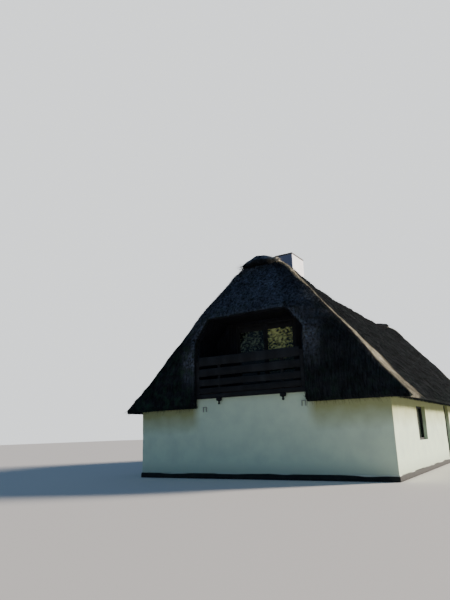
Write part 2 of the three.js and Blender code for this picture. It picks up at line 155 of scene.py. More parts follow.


# %% [markdown]
# ## Reed thatch
# The coat is water reed, laid in bundles and dressed with a leggett. New reed is straw
# yellow; weather turns it grey-brown, then nearly black where it stays damp. The eye reads
# the fall of the stalks as thin light and dark streaks. Four things change from place to
# place and are painted on the pieces as an attribute named Wear_and_light. Red is painted
# sunlight along the sunny hips, drawn as paler, bleached straw. Green is where algae grow.
# Blue is where cut butts show as a paler stubble, in a bluish tone that is painted sky light
# on the hood and painted highlight beside and round the loggia. Alpha is painted shade that
# darkens the right slope between its hips. A stalk is 5 mm thick, too fine to show from the
# camera, so streaks are drawn at 14 mm and 45 mm and the butts at 70 mm. The map named Grain
# runs up the fall first and across it second, in metres.

# %% Material: reed thatch
def reed_thatch_material():
    """Streaks 14 and 45 mm wide, 70 mm stubble, 0.8 m blots; tinted by wear and painted light."""
    material, add = new_material("weathered_reed_thatch")
    grain, place = add("UVMap", {}, uv_map="Grain"), add("TexCoord", {}, "Object")
    wear = add("Attribute", {}, "Color", attribute_name="Wear_and_light")
    parts = add("SeparateColor", {0: wear}).node.outputs
    noises = []
    for vector, size, detail in (
        (grain, (0.30, 0.014, 1), 3), (grain, (0.42, 0.045, 1), 4), (place, (0.07, 0.07, 0.07), 4),
        (place, (0.8, 0.8, 0.5), 5), (place, (0.22, 0.22, 0.22), 5),
    ):
        mapped = add("Mapping", {"Vector": vector, "Scale": tuple(1 / s for s in size)})
        settings = {"Vector": mapped, "Scale": 1, "Detail": detail, "Roughness": 0.6}
        noises.append(add("TexNoise", settings))
    stalks, streaks, stubble, blots, damp = noises
    straw = add("Mix", {0: parts["Blue"], 2: streaks, 3: stubble})
    coats = (
        # The bluish pale coat: paler butts, with painted sky light and painted highlight.
        (straw, 0.36, 0.68, "#303436"), (straw, 0.38, 0.62, "#66738a", parts["Blue"]),
        (damp, 0.46, 0.66, "#2b4036", parts["Green"]),
        # Painted sunlight on the sunny hips, as paler bleached straw.
        (streaks, 0.25, 0.6, "#b3ae98", parts["Red"]),
    )
    tone = add("MapRange", {0: blots, 1: 0.35, 2: 0.65, 3: 0.7, 4: 1.2})
    # Alpha darkens the straw: painted shade on the right slope between its hips.
    tone = add("Math", {0: tone, 1: wear.node.outputs["Alpha"]}, operation="MULTIPLY")
    height = add("Math", {0: stalks, 1: straw}, operation="ADD")
    bump = add("Bump", {"Strength": 0.8, "Distance": 0.02, "Height": height})
    return lay_coats(
        material, "#111316", coats, tone, Normal=bump, Roughness=1.0, Specular_IOR_Level=0.03)


reed = reed_thatch_material()

# %% [markdown]
# ## Ridge heather
# The cap over the ridge is heather, laid thick and wet and left to settle. It is darker than
# the reed, has no common direction, and greys in clumps as wide as a hand. Its front end is
# weathered grey with painted sky light on its top, and has painted sunlight on its right
# side: Wear_and_light's green and red.

# %% Material: heather
def heather_material():
    """Near-black twigs: tangles of 30 mm, clumps of 0.15 m; greyed by weather and painted light."""
    material, add = new_material("ridge_heather")
    place = add("TexCoord", {}, "Object")
    tangle = add("TexNoise", {"Vector": place, "Scale": 1 / 0.03, "Detail": 4})
    clumps = add("TexNoise", {"Vector": place, "Scale": 1 / 0.15, "Detail": 4})
    wear = add("Attribute", {}, "Color", attribute_name="Wear_and_light")
    parts = add("SeparateColor", {0: wear}).node.outputs
    coats = (
        # Green greys the top with weather and painted sky light; red is painted sunlight.
        (tangle, 0.36, 0.66, "#202224"), (clumps, 0.3, 0.6, "#586474", parts["Green"]),
        (clumps, 0.3, 0.6, "#a29f92", parts["Red"]),
    )
    bump = add("Bump", {"Strength": 1, "Distance": 0.02, "Height": tangle})
    return lay_coats(
        material, "#0a0b0d", coats, Normal=bump, Roughness=1.0, Specular_IOR_Level=0.03)


heather = heather_material()

# %% [markdown]
# ## Limewash
# The walls are rendered and limewashed with a broad brush. Limewash is chalky: no gloss, soft
# clouds of thicker and thinner coats about a forearm wide, short brush marks and a slightly
# lumpy ground. Under the two eaves of the gable, outside the loggia, the top of the wall
# gets a darker yellow-green band that is drip stain from the reed and painted shade under
# the thatch. Splashed earth greys the foot of the wall. On the chimney the same recipe
# paints shade, a grey-blue tint, on the face that looks away from the sun.

# %% Material: limewash
def limewash_material(name, coat, thin, stain_and_shade, stained, free_half, foot, foot_height):
    """Chalky wash: clouds of 0.5 m, brush marks of 50 by 12 mm, 6 mm grit, a greyed foot.

    stained is an axis, the places where the coat of stain and painted shade starts and is
    full and how unevenly it spreads, in metres, and how far it covers. It keeps outside
    free_half on both sides. The foot's grey thins upwards and ends about 0.2 m over foot_height.
    """
    material, add = new_material(name)
    place = add("TexCoord", {}, "Object")
    axes = add("SeparateXYZ", {0: place}).node.outputs
    clouds = add("TexNoise", {"Vector": place, "Scale": 1 / 0.5, "Detail": 5})
    brushed = add("Mapping", {"Vector": place, "Scale": (1 / 0.05, 1 / 0.05, 1 / 0.012)})
    marks = add("TexNoise", {"Vector": brushed, "Scale": 1, "Detail": 3})
    grit = add("TexNoise", {"Vector": place, "Scale": 1 / 0.006, "Detail": 2})
    axis, start, full, uneven, cover = stained
    stain_and_shade_level = add("Math", {0: clouds, 1: uneven, 2: axes[axis]}, operation="MULTIPLY_ADD")
    out = add("Math", {0: axes["X"]}, operation="ABSOLUTE")
    outside = add("MapRange", {0: out, 1: free_half - 0.1, 2: free_half + 0.2, 4: cover})
    splashed = add("Math", {0: clouds, 1: 0.5, 2: axes["Z"]}, operation="MULTIPLY_ADD")
    lines = add("Bump", {"Strength": 0.35, "Distance": 0.004, "Height": marks})
    bump = add("Bump", {"Strength": 0.25, "Distance": 0.002, "Height": grit, "Normal": lines})
    coats = (
        # The second coat is stain with painted shade under the eaves, and painted shade on the
        # chimney.
        (clouds, 0.38, 0.7, thin), (stain_and_shade_level, start, full, stain_and_shade, outside),
        (splashed, foot_height + 0.45, foot_height, foot, 0.5),
    )
    return lay_coats(
        material, coat, coats, Normal=bump, Roughness=0.93, Specular_IOR_Level=0.2)


shaded_face = stack_low[1] + 0.02
limewash = limewash_material(
    "limewash_on_render", "#d3e8ce", "#c6dac4", "#93913c", ("Z", 1.4, 2.0, 0.3, 0.7),
    opening_half, "#8f968a", 0.25)
# On the chimney the stain coat is painted shade: grey-blue on the front face, away from the sun.
chimney_wash = limewash_material(
    "limewash_on_brick", "#fafcff", "#eef0f3", "#6f7890",
    ("Y", shaded_face + 0.01, shaded_face, 0.01, 1), -1, "#8d8c84", 0.0)

# %% [markdown]
# ## Tar, slate, iron and concrete
# The foot of the wall is painted with tar, which dries to a dull black skin; limewash has run
# down over its upper edge in long waves. The slab on the chimney is slate, the staples are
# wrought iron and the ground floor is concrete. These share one recipe: a base colour broken
# by blots of one real size, and a bump of another.

# %% Material: plain finishes
def mottled_material(name, main, other, blot, grit, depth, roughness, lapped=None):
    """Two close colours in blots and grit of given metres; from about 0.15 m up, lapped."""
    material, add = new_material(name)
    place = add("TexCoord", {}, "Object")
    blots = add("TexNoise", {"Vector": place, "Scale": 1 / blot, "Detail": 5})
    grains = add("TexNoise", {"Vector": place, "Scale": 1 / grit, "Detail": 3})
    coats = [(blots, 0.35, 0.68, other)]
    if lapped:
        height = add("SeparateXYZ", {0: place}, "Z")
        strokes = {"Vector": place, "Scale": 1 / 1.3, "Detail": 2, "Roughness": 0.4}
        waves = add("TexNoise", strokes)
        edge = add("Math", {0: waves, 1: 0.16, 2: height}, operation="MULTIPLY_ADD")
        coats.append((edge, 0.22, 0.235, lapped))
    bump = add("Bump", {"Strength": 0.5, "Distance": depth, "Height": grains})
    return lay_coats(material, main, coats, Normal=bump, Roughness=roughness)


tar = mottled_material("tarred_plinth", "#101412", "#1e231e", 0.2, 0.02, 0.004, 0.8, "#c6d2c3")
slate = mottled_material("weathered_slate", "#3a3b3e", "#5d5c57", 0.08, 0.012, 0.003, 0.75)
iron = mottled_material("wrought_iron", "#7b837e", "#979d95", 0.03, 0.006, 0.001, 0.6)
slab = mottled_material("concrete_floor", "#8b867c", "#77736a", 0.4, 0.01, 0.001, 0.85)

# %% [markdown]
# ## Window glass
# The panes are old drawn glass, slightly wavy, over a dark room. A greenish reflection is
# painted on them in soft clouds and dabs, on their upper part; low down they stay dark.

# %% Material: window glass
def drawn_glass_material(name, dark, painted_reflection, share):
    """Dark glass under a painted reflection in clouds of 0.3 m and level dabs of 0.09 m.

    share is how much. Below 3.4 m the glass stays dark; the reflection fades in up to 3.8 m.
    """
    material, add = new_material(name)
    place = add("TexCoord", {}, "Object")
    clouds = add("TexNoise", {"Vector": place, "Scale": 1 / 0.3, "Detail": 4})
    level = add("Mapping", {"Vector": place, "Scale": (1 / 0.09, 1, 1 / 0.06)})
    dabs = add("TexNoise", {"Vector": level, "Scale": 1, "Detail": 3})
    mixed = add("Mix", {0: 0.75, 2: clouds, 3: dabs})
    height = add("SeparateXYZ", {0: place}, "Z")
    reflection_above = add("MapRange", {0: height, 1: 3.4, 2: 3.8})
    waves = add("TexNoise", {"Vector": place, "Scale": 1 / 0.25, "Detail": 1})
    bump = add("Bump", {"Strength": 0.3, "Distance": 0.003, "Height": waves})
    gloss = {"Roughness": 0.06, "IOR": 1.5, "Specular_IOR_Level": 0.3, "Alpha": 0.92}
    coats = [(mixed, 0.63 - share, 0.83 - share, painted_reflection, reflection_above)]
    return lay_coats(material, dark, coats, Normal=bump, **gloss)


# Both panes carry a painted greenish reflection; the right door's is brighter and wider.
dim_reflection_pane = drawn_glass_material("drawn_glass", "#0e1614", "#74856e", 0.16)
bright_reflection_pane = drawn_glass_material("drawn_glass_bright_reflection", "#1f2a17", "#d8e08e", 0.23)

# %% [markdown]
# ## Stained timber
# The railing, the loggia's lining and the joinery are softwood under many coats of dark wood
# stain. The grain still shows as long fine lines, raised a little by weather, and the most
# exposed boards have gone greyer. The grain follows a map of its own on every board, so it
# runs lengthways, and no two boards share a stretch of it. Growth rings are 3 mm apart, too
# fine to show, so they are drawn at 12 mm.

# %% Material: stained timber
def timber_material(name, dark, light, weathered, roughness):
    """Stained softwood: rings 12 mm apart and 0.4 m long, weathered in blots of 0.5 m."""
    material, add = new_material(name)
    grain = add("UVMap", {}, uv_map="Grain")
    noises = []
    for size, detail in (((0.4, 0.012, 1), 5), ((0.25, 0.004, 1), 2), ((0.5, 0.12, 1), 4)):
        mapped = add("Mapping", {"Vector": grain, "Scale": tuple(1 / s for s in size)})
        noises.append(add("TexNoise", {"Vector": mapped, "Scale": 1, "Detail": detail}))
    rings, lines, blots = noises
    height = add("Math", {0: rings, 1: lines}, operation="ADD")
    bump = add("Bump", {"Strength": 0.5, "Distance": 0.003, "Height": height})
    coats = ((rings, 0.36, 0.66, light), (blots, 0.5, 0.72, weathered))
    return lay_coats(
        material, dark, coats, Normal=bump, Roughness=roughness, Specular_IOR_Level=0.3)


stained = timber_material("dark_stained_timber", "#0b0d10", "#16191d", "#23272b", 0.7)
lining_wood = timber_material("loggia_boarding", "#090a10", "#12151f", "#1a1f2b", 0.8)
joinery = timber_material("stained_joinery", "#0c0d10", "#171a1e", "#202429", 0.6)

# %% [markdown]
# ## Deck boards
# The loggia's floor and the attic's are one layer of broad softwood boards, 290 mm wide, that
# run from the gable inwards. The slab of the frame keeps its shape, so the joints between
# boards are drawn by the material: a dark line wherever the way to the next joint is short.

# %% Material: deck boards
def deck_material():
    """Boards 290 mm wide with 6 mm joints, and grain of 12 mm by 0.4 m along Y.

    PINGPONG counts up to half a board and down again, so it gives the way to the next joint.
    """
    material, add = new_material("deck_boards")
    place = add("TexCoord", {}, "Object")
    x = add("SeparateXYZ", {0: place})
    from_joint = add("Math", {0: x, 1: 0.29 / 2}, operation="PINGPONG")
    face = add("MapRange", {0: from_joint, 1: 0.003, 2: 0.005})
    mapped = add("Mapping", {"Vector": place, "Scale": (1 / 0.012, 1 / 0.4, 1)})
    rings = add("TexNoise", {"Vector": mapped, "Scale": 1, "Detail": 4})
    bump = add("Bump", {"Strength": 0.6, "Distance": 0.004, "Height": face})
    coats = ((rings, 0, 1, "#4a4138"), (face, 1, 0, "#0b0a09"))
    return lay_coats(material, "#2a2520", coats, Normal=bump, Roughness=0.7)


deck_wood = deck_material()

# %% [markdown]
# ## Surfaces as arrays
# Each new piece is worked out as whole arrays. A surface is a grid of points: its rows run up
# the piece and its columns run along it, anticlockwise round the house, so faces point
# outwards. Rows and columns are set apart evenly, but meet every edge and corner exactly.

# %% Spacing of rows and columns
def stops(places, cell):
    """Values from the first place to the last, about cell apart, that hit every place."""
    pairs = zip(places[:-1], places[1:])
    parts = [np.linspace(a, b, max(1, round((b - a) / cell)), endpoint=False) for a, b in pairs]
    return np.append(np.concatenate(parts), places[-1])


# %% [markdown]
# ## The form of the roof
# At every height the roof is a level ring: two straight sides, and two ends that swell in the
# middle and fall back to the hips. The half width follows the slope and then a circle over the
# ridge. Straw laid by hand swells and sinks by a few centimetres over a couple of metres. The
# ridge is swept: its ends are higher than its middle, so each ring is lowered towards the
# middle of the house. All this is the frame's own form, in metres.

# %% The roof's curves
def half_width(z, inset=0.0):
    """Half the roof's width at height z: the slope's line, then the circle over the ridge."""
    radius = ridge_radius - inset
    tangent = ridge_centre + radius * math.cos(pitch)
    slope = radius * math.sin(pitch) + (tangent - z) / math.tan(pitch)
    circle = np.sqrt(np.maximum(radius ** 2 - (z - ridge_centre) ** 2, 0))
    return np.where(z > tangent, circle, slope)


def corner_y(z):
    """Where the hip's corner lies at height z: a line that leans back from the eave."""
    return front + (z - eave) * hip_run - overhang


def middle_y(z):
    """The same for the end's middle: nearly upright, then a hood that leans back to the ridge."""
    lean = np.interp(z, [eave, opening_top, ridge_top], [-overhang, -hood_lip, apex_setback])
    return np.minimum(front + lean, corner_y(z))


def swelling(x, y, z):
    """How far the straw swells out: three crossed waves of about 2 m that bend each other."""
    up = 2 * math.pi * z / 1.75
    across = np.sin(2 * math.pi * x / 2.3 + np.sin(up))
    along = np.sin(2 * math.pi * y / 2.05 + 1.4 * np.sin(0.7 * up))
    rising = np.sin(up + np.sin(math.pi * y / 2.05))
    return 0.022 * (across + along + rising) / 2


def swept(points):
    """Points of the plain roof, lowered by the ridge's sag, a share that fades along y."""
    part = np.clip((np.abs(points[..., 1]) - sag_full) / (sag_end - sag_full), 0, 1)
    result = points.copy()
    result[..., 2] = eave + (points[..., 2] - eave) * (1 - sag * (1 - part ** 2.5))
    return result


def opening_half_width(z):
    """Half the loggia's width at height z; over its head the line runs on up to the ridge."""
    outline = np.interp(z, [chamfer_level, opening_top], [opening_half, opening_top_half])
    above = opening_top_half * half_width(z) / half_width(opening_top)
    return np.where(z < opening_top, outline, above)


slope_levels = stops([eave, chamfer_level, opening_top, tangent_level], 0.075 * math.sin(pitch))
arc = np.linspace(math.pi / 2 - pitch, math.pi / 2 - 0.02, 16)[1:]
levels = np.concatenate([slope_levels, ridge_centre + ridge_radius * np.sin(arc)])
head_row = int(np.argmin(np.abs(levels - opening_top)))
cheek_columns, middle_columns, side_columns = 38, 42, 220
end_count = 2 * cheek_columns + middle_columns + 1
print(len(levels), "levels; the loggia's head is at level", head_row)

# %% [markdown]
# ## Rings of points
# The gable's points are set so that two columns follow the loggia's outline exactly. The
# rear end is the front turned half round. A thatcher can't lay a sharp hip, so the ring's
# corners are worn round by averaging neighbours a few times, near the hips only.

# %% The roof's rings
def end_points(z):
    """The front's points at heights z, from the left hip to the right one.

    A point's share of the half width fixes how far back it lies; the share is found by
    dividing its x by the swollen half width, four times over.
    """
    level = z[:, None]
    half = half_width(level)
    corner, middle = corner_y(level), middle_y(level)

    def swollen(share):
        """The half width and y at a share of the half width, both pushed out by the swelling."""
        y = corner - (corner - middle) * (1 - np.abs(share) ** hip_fullness)
        push = swelling(half * share, y, level)
        return half + push / math.sin(pitch), y - push

    left, right = swollen(-1.0)[0], swollen(1.0)[0]
    jamb = opening_half_width(level)
    x = np.concatenate([
        -left + np.linspace(0, 1, cheek_columns, endpoint=False) * (left - jamb),
        -jamb + np.linspace(0, 2, middle_columns, endpoint=False) * jamb,
        jamb + np.linspace(0, 1, cheek_columns + 1) * (right - jamb),
    ], 1)
    share = x / half
    for _ in range(4):
        share = x / swollen(share)[0]
    return np.stack([x, swollen(share)[1], level + 0 * x], -1)


def roof_rings(z):
    """Whole rings at heights z: the front and the right side, then both turned half round."""
    ends = end_points(z)
    start, stop = ends[:, -1:, 1], -ends[:, :1, 1]
    y = start + np.linspace(0, 1, side_columns + 2)[None, 1:-1] * (stop - start)
    level = z[:, None] + 0 * y
    half = half_width(level)
    x = half + swelling(half, y, level) / math.sin(pitch)
    half_ring = np.concatenate([ends, np.stack([x, y, level], -1)], 1)
    return np.concatenate([half_ring, half_ring * np.array([-1, -1, 1])], 1)


plain_rings = roof_rings(levels)
ring_count = plain_rings.shape[1]
hips = np.array([0, end_count - 1])
hips = np.concatenate([hips, hips + ring_count // 2])
gap = np.abs(np.arange(ring_count)[:, None] - hips)
from_hip = np.minimum(gap, ring_count - gap).min(1)
softness = np.interp(from_hip, [8, 16], [1, 0])[None, :, None]
rise = np.interp(levels, [eave, eave + 0.8], [0.25, 1])[:, None, None]
worn, rounding_passes = plain_rings, 14
for _ in range(rounding_passes):
    worn = worn * 0.5 + (np.roll(worn, 1, 1) + np.roll(worn, -1, 1)) * 0.25
plain_rings = plain_rings + (worn - plain_rings) * rise * softness
rings = swept(plain_rings)
print("rings of", ring_count, "points")

# %% [markdown]
# ## Smooth noise and directions
# Nothing on this house is quite even, so most reliefs start from smooth noise of a real size.
# A relief moves a surface along its normals, and its places are measured along the surface.

# %% Helpers for relief
def value_noise(a, b, seed):
    """Smooth random heights from -1 to 1: a random value at each whole a and b, blended softly."""
    table = np.random.default_rng(seed).uniform(-1, 1, (256, 256))
    ia, ib = np.floor(a).astype(int), np.floor(b).astype(int)
    fa, fb = (f * f * (3 - 2 * f) for f in (a - ia, b - ib))
    low, high = (
        table[ia % 256, row % 256] * (1 - fa) + table[(ia + 1) % 256, row % 256] * fa
        for row in (ib, ib + 1)
    )
    return low * (1 - fb) + high * fb


def unit(vectors):
    """The same directions, each one long."""
    return vectors / np.maximum(np.linalg.norm(vectors, axis=-1, keepdims=True), 1e-9)


def grid_normals(points):
    """Unit normals of a grid, from the cross product of its column and row directions."""
    return unit(np.cross(np.gradient(points, axis=1), np.gradient(points, axis=0)))


def distance_along(points, axis):
    """Running distance from the first row or column of a grid, in metres."""
    steps = np.linalg.norm(np.diff(points, axis=axis), axis=-1)
    start = np.zeros_like(np.take(steps, [0], axis=axis))
    return np.concatenate([start, np.cumsum(steps, axis=axis)], axis=axis)


# %% [markdown]
# ## The laid straw
# On the frame's swellings lie bundles of reed 0.3 m wide, streaks of 0.13 m down the fall,
# and a faint step at each course. Where the hood leans back the butts stand out as stubble.
# The ends follow X and the slopes follow Y, and the two reliefs are blended at the hips by
# the way the surface faces. Shears have rounded the edges at the eaves and round the loggia.

# %% Relief of the thatch
def straw_relief(u, v, seed):
    """Heights in metres: bundles of 0.3 m, streaks of 0.13 m and courses of 0.45 m."""
    bundle = 0.010 * value_noise(u / 0.3, v / 0.6, seed)
    streak = 0.009 * value_noise(u / 0.13, v / 0.45, seed + 1)
    course = (v + 0.25 * value_noise(u / 0.9, v / 2.0, seed + 2)) / 0.45
    return bundle + streak + 0.003 * np.cos(2 * math.pi * course)


def shear_round(distance, radius):
    """How far an edge is cut back at a distance from it: a quarter circle of that radius."""
    inside = np.clip(radius - distance, 0, radius)
    return radius - np.sqrt(radius ** 2 - inside ** 2)


def opening_distance(x, z):
    """Distance from the loggia's outline for points outside it, in the plane of the gable."""
    slant = unit(np.array([opening_top - chamfer_level, opening_half - opening_top_half]))
    from_slant = (np.abs(x) - opening_half) * slant[0] + (z - chamfer_level) * slant[1]
    return np.maximum(np.maximum(np.abs(x) - opening_half, z - opening_top), from_slant)


x, y, z = np.moveaxis(rings, -1, 0)
along, up = distance_along(rings, 1), distance_along(rings, 0)
normals = grid_normals(rings)
facing_end = np.interp(np.abs(normals[..., 1]), [0.3, 0.65], [0, 1])
relief = straw_relief(x, up, 11) * facing_end + straw_relief(y, up, 21) * (1 - facing_end)
on_hood = np.interp(z, [opening_top - 0.05, opening_top + 0.15], [0, 1]) * facing_end
relief += 0.008 * on_hood * value_noise(x / 0.085, up / 0.085, 31)
near_opening = np.where(y < 0, np.maximum(opening_distance(x, z), 0), 9.0)
relief *= np.interp(up, [0, 0.1], [0, 1]) * np.interp(near_opening, [0, 0.15], [0.3, 1])
cut_back = shear_round(up, 0.08) + shear_round(near_opening, 0.035)
skin = rings + normals * (relief - cut_back)[..., None]
print("relief from", round(relief.min() * 1000), "to", round(relief.max() * 1000), "mm")

# %% [markdown]
# ## Wear and painted light on the straw
# The sun comes over the right side of the house. Painted sunlight lies along the two hips
# there, as a band of paler, bleached straw, and the slope between them gets painted shade.
# Algae like the shaded left and the damp eaves. Cut butts show paler where the hood leans
# back, beside the loggia's jambs and along the cut round its opening; their bluish pale is
# partly painted sky light on the hood, and painted highlight at the jambs and the cut. Each
# share is a product of ramps over the height and over the place round the ring.

# %% Painted sunlight and shade, algae, and pale butts with painted light
hip_front = along - along[:, end_count - 1:end_count]
hip_rear = along - along[:, end_count + side_columns:end_count + side_columns + 1]
# Painted sunlight: a band of paler straw along the right hips, its width set per height.
hip_width = np.interp(
    z, [3.2, 3.7, 4.2, 5.0, 5.5, 5.8, 6.0], [1.15, 0.72, 0.42, 0.2, 0.16, 0.26, 0.3])
hip_start = np.interp(z, [5.5, 5.8], [0, -0.16])
over_hip = ([0.0, 0.12, 0.7, 1], [0, 1, 1, 0])
bleach_and_painted_sun = np.interp((hip_front - hip_start) / hip_width, *over_hip)
bleach_and_painted_sun += 0.6 * np.interp(-hip_rear / hip_width, *over_hip)
bleach_and_painted_sun *= np.interp(z, [2.2, 3.2, 3.6, 4.2, 5.0, 5.5, 5.75], [0.55, 1, 0.9, 0.85, 0.5, 0.45, 1])
# Painted shade: the right slope between its hips is darkened by up to a third, less under the hip
# band.
between_hips = (x > 0) * np.interp(np.minimum(hip_front, -hip_rear), [-0.1, 0.05], [0, 1])
painted_shade_factor = 1 - 0.33 * between_hips * (1 - np.clip(bleach_and_painted_sun * 1.6, 0, 1))
green = np.interp(x, [-3.5, -1.5, 3.0], [1.0, 0.75, 0.15]) * np.interp(z, [4.2, 5.0], [1, 0.5])
green += np.interp(up, [0, 1.5], [0.25, 0])
# Painted highlight on paler butts beside the jambs, weaker on the shaded left.
jamb_highlight = np.interp(np.abs(x) - opening_half, [-0.05, 0.36, 0.56], [1, 0.95, 0])
jamb_highlight *= np.where(x < 0, 0.78, 1) * (z < opening_top) * (y < 0)
jamb_highlight *= np.interp(z + 0.4 * (x < 0), [2.9, 3.2, 3.7, 4.0, 4.4], [0, 0.35, 0.95, 0.95, 0.4])
# Painted highlight on paler butts along the cut round the opening.
cut_highlight = np.interp(near_opening, [0.03, 0.11, 0.16], [0.85, 0.85, 0]) * (z > 3.4)
cut_highlight *= np.interp(z, [opening_top - 0.1, opening_top], [1, 0.75])
# Paler butts on the hood, with painted sky light that grows towards the ridge.
hood_pale_and_skylight = np.interp(z, [4.35, opening_top, 6.2], [0.3, 0.68, 0.88]) * (z > 4.35)
hood_pale_and_skylight *= np.interp(hip_front, [-0.7, -0.1], [1, 0.5]) * np.where(y < 0, 1, 0.3)
pale_and_painted_light = np.maximum(np.maximum(jamb_highlight, hood_pale_and_skylight) * facing_end, np.maximum(cut_highlight, 0.04))
bleach_and_painted_sun += 0.1 * jamb_highlight * facing_end
wear = np.stack([np.clip(bleach_and_painted_sun, 0, 1), green, pale_and_painted_light, painted_shade_factor], -1)
# One grid for all that a straw needs: its place, its normal, its distance up, and its wear
# and painted light.
coat = np.concatenate([skin, normals, up[..., None], wear], -1)
print("bleached share", round(float((bleach_and_painted_sun > 0.5).mean()), 3))

# %% [markdown]
# ## From arrays to pieces
# One function puts any points and faces into a mesh, as a piece that rides on the house. A
# second closes two like grids, the outside and the inside, into a body with a real thickness,
# so no skin is a bare sheet and every opening gets its reveals.

# %% Makers of pieces
def grid_quads(number, wrap):
    """A grid's quads, from the numbers of its points; wrap joins the last column to the first."""
    if wrap:
        number = np.concatenate([number, number[:, :1]], 1)
    return np.stack([number[:-1, :-1], number[:-1, 1:], number[1:, 1:], number[1:, :-1]], -1)


def add_object(name, data):
    """A new object of the scene that shows the given data, at the origin."""
    item = bpy.data.objects.new(name, data)
    bpy.context.scene.collection.objects.link(item)
    return item


def make_piece(
        name, points, faces, material, slot, replaced=(), grain=None, wear=None, crease=None):
    """Puts points and faces, a list of arrays, into a mesh that rides on the house.

    grain becomes the map of that name, and wear the attribute. Edges that turn by more than
    crease degrees stay sharp.
    """
    corners = np.concatenate([group.ravel() for group in faces]).astype(np.int32)
    sizes = np.concatenate([np.full(len(group), group.shape[1]) for group in faces])
    mesh = bpy.data.meshes.new(name)
    mesh.vertices.add(len(points))
    mesh.vertices.foreach_set("co", np.asarray(points, np.float32).ravel())
    mesh.loops.add(len(corners))
    mesh.loops.foreach_set("vertex_index", corners)
    mesh.polygons.add(len(sizes))
    mesh.polygons.foreach_set("loop_start", (np.cumsum(sizes) - sizes).astype(np.int32))
    mesh.update(calc_edges=True)
    if grain is not None:
        layer = mesh.uv_layers.new(name="Grain")
        layer.data.foreach_set("uv", np.asarray(grain, np.float32)[corners].ravel())
    if wear is not None:
        layer = mesh.color_attributes.new("Wear_and_light", "FLOAT_COLOR", "POINT")
        layer.data.foreach_set("color", np.asarray(wear, np.float32).ravel())
    mesh.shade_smooth()
    if crease is not None:
        mesh.set_sharp_from_angle(angle=math.radians(crease))
    mesh.materials.append(material)
    piece = add_object(name, mesh)
    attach(piece, "root")
    if replaced:
        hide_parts(*replaced)
    print(name, len(sizes), "faces")


def skin_piece(
        name, outer, inner, material, slot, replaced, keep=None, wrap=False, crease=60, **maps):
    """Closes two like grids into one body, and makes it a piece.

    The outer grid's quads, the inner grid's quads turned round, and a strip between the two
    along every edge where a kept quad has no kept neighbour. Each of the maps is a pair of
    grids too, for the outside and the inside.
    """
    rows, columns = outer.shape[:2]
    count = rows * columns
    quads = grid_quads(np.arange(count).reshape(rows, columns), wrap)
    quads = quads[keep] if keep is not None else quads.reshape(-1, 4)
    edges = quads[:, [0, 1, 1, 2, 2, 3, 3, 0]].reshape(-1, 2)
    forward = edges[:, 0] * count + edges[:, 1]
    backward = edges[:, 1] * count + edges[:, 0]
    rim = edges[~np.isin(forward, backward)]
    strip = np.stack([rim[:, 1], rim[:, 0], rim[:, 0] + count, rim[:, 1] + count], -1)
    faces = np.concatenate([quads, quads[:, ::-1] + count, strip])
    used, renumbered = np.unique(faces, return_inverse=True)
    points, *maps_used = (
        np.concatenate([grid.reshape(count, -1) for grid in pair])[used]
        for pair in ((outer, inner), *maps.values())
    )
    faces = [renumbered.reshape(-1, 4)]
    maps = dict(zip(maps, maps_used))
    make_piece(name, points, faces, material, slot, replaced, crease=crease, **maps)


# %% [markdown]
# ## Skins of the thatch
# The ring is parted where the construction parts it: two cheeks beside the loggia, the hood
# over it, the long slopes and the rear end. Each becomes a closed body as thick as the thatch.
# Beside and over the loggia the inside is flared, to clear its boarding.

# %% Thatch pieces
def thatch_piece(name, columns, rows, inner, across, replaced):
    """One closed piece of thatch; across is the axis, 0 or 1, that runs across its fall."""
    outer = coat[rows][:, columns % ring_count]
    grain = np.stack([outer[..., 6], outer[..., across]], -1)
    maps = {"grain": (grain, grain + 0.37), "wear": [outer[..., 7:]] * 2}
    skin_piece(name, outer[..., :3], inner, reed, "thatch", [replaced], **maps)


def inner_end(columns, rows, way):
    """The inside of an end: its points pushed inwards, but not into the wall."""
    inner = plain_rings[rows][:, columns % ring_count] + np.array([0, way * end_depth, 0])
    clear = np.where(inner[..., 2] < wall_top + 0.02, front, 0)
    inner[..., 1] = way * np.minimum(inner[..., 1] * way, clear)
    return swept(inner)


def inner_side(columns, rows, way):
    """The inside of a slope: points at the same part of the height, square to the slope inwards."""
    outer = plain_rings[rows][:, columns % ring_count]
    top_inside = ridge_top - thatch_depth - 0.02
    level = eave + (outer[..., 2] - eave) * (top_inside - eave) / (ridge_top - eave)
    return swept(np.stack([way * half_width(level, thatch_depth), outer[..., 1], level], -1))


all_rows = np.arange(len(levels))
below_head, above_head = all_rows[:head_row + 1], all_rows[head_row:]
flare = 0.08
hood = np.arange(end_count)
left_cheek, right_cheek = hood[:cheek_columns + 1], hood[cheek_columns + middle_columns:]
right_slope = np.arange(end_count - 1, end_count + side_columns + 1)
rear_end, left_slope = hood + ring_count // 2, right_slope + ring_count // 2

inner = inner_end(left_cheek, below_head, 1)
inner[:, -1, 0] -= flare
thatch_piece("thatch_cheek_left", left_cheek, below_head, inner, 0, "thatch_front_left")
inner = inner_end(right_cheek, below_head, 1)
inner[:, 0, 0] += flare
thatch_piece("thatch_cheek_right", right_cheek, below_head, inner, 0, "thatch_front_right")
inner = inner_end(hood, above_head, 1)
inner[0, cheek_columns:-cheek_columns, 2] += flare
thatch_piece("thatch_hood_skin", hood, above_head, inner, 0, "thatch_hood")
for name, columns, way in (("right", right_slope, 1), ("left", left_slope, -1)):
    inner = inner_side(columns, all_rows, way)
    thatch_piece(f"thatch_{name}_skin", columns, all_rows, inner, 1, "thatch_" + name)
inner = inner_end(rear_end, all_rows, -1)
thatch_piece("thatch_rear_skin", rear_end, all_rows, inner, 0, "thatch_rear")

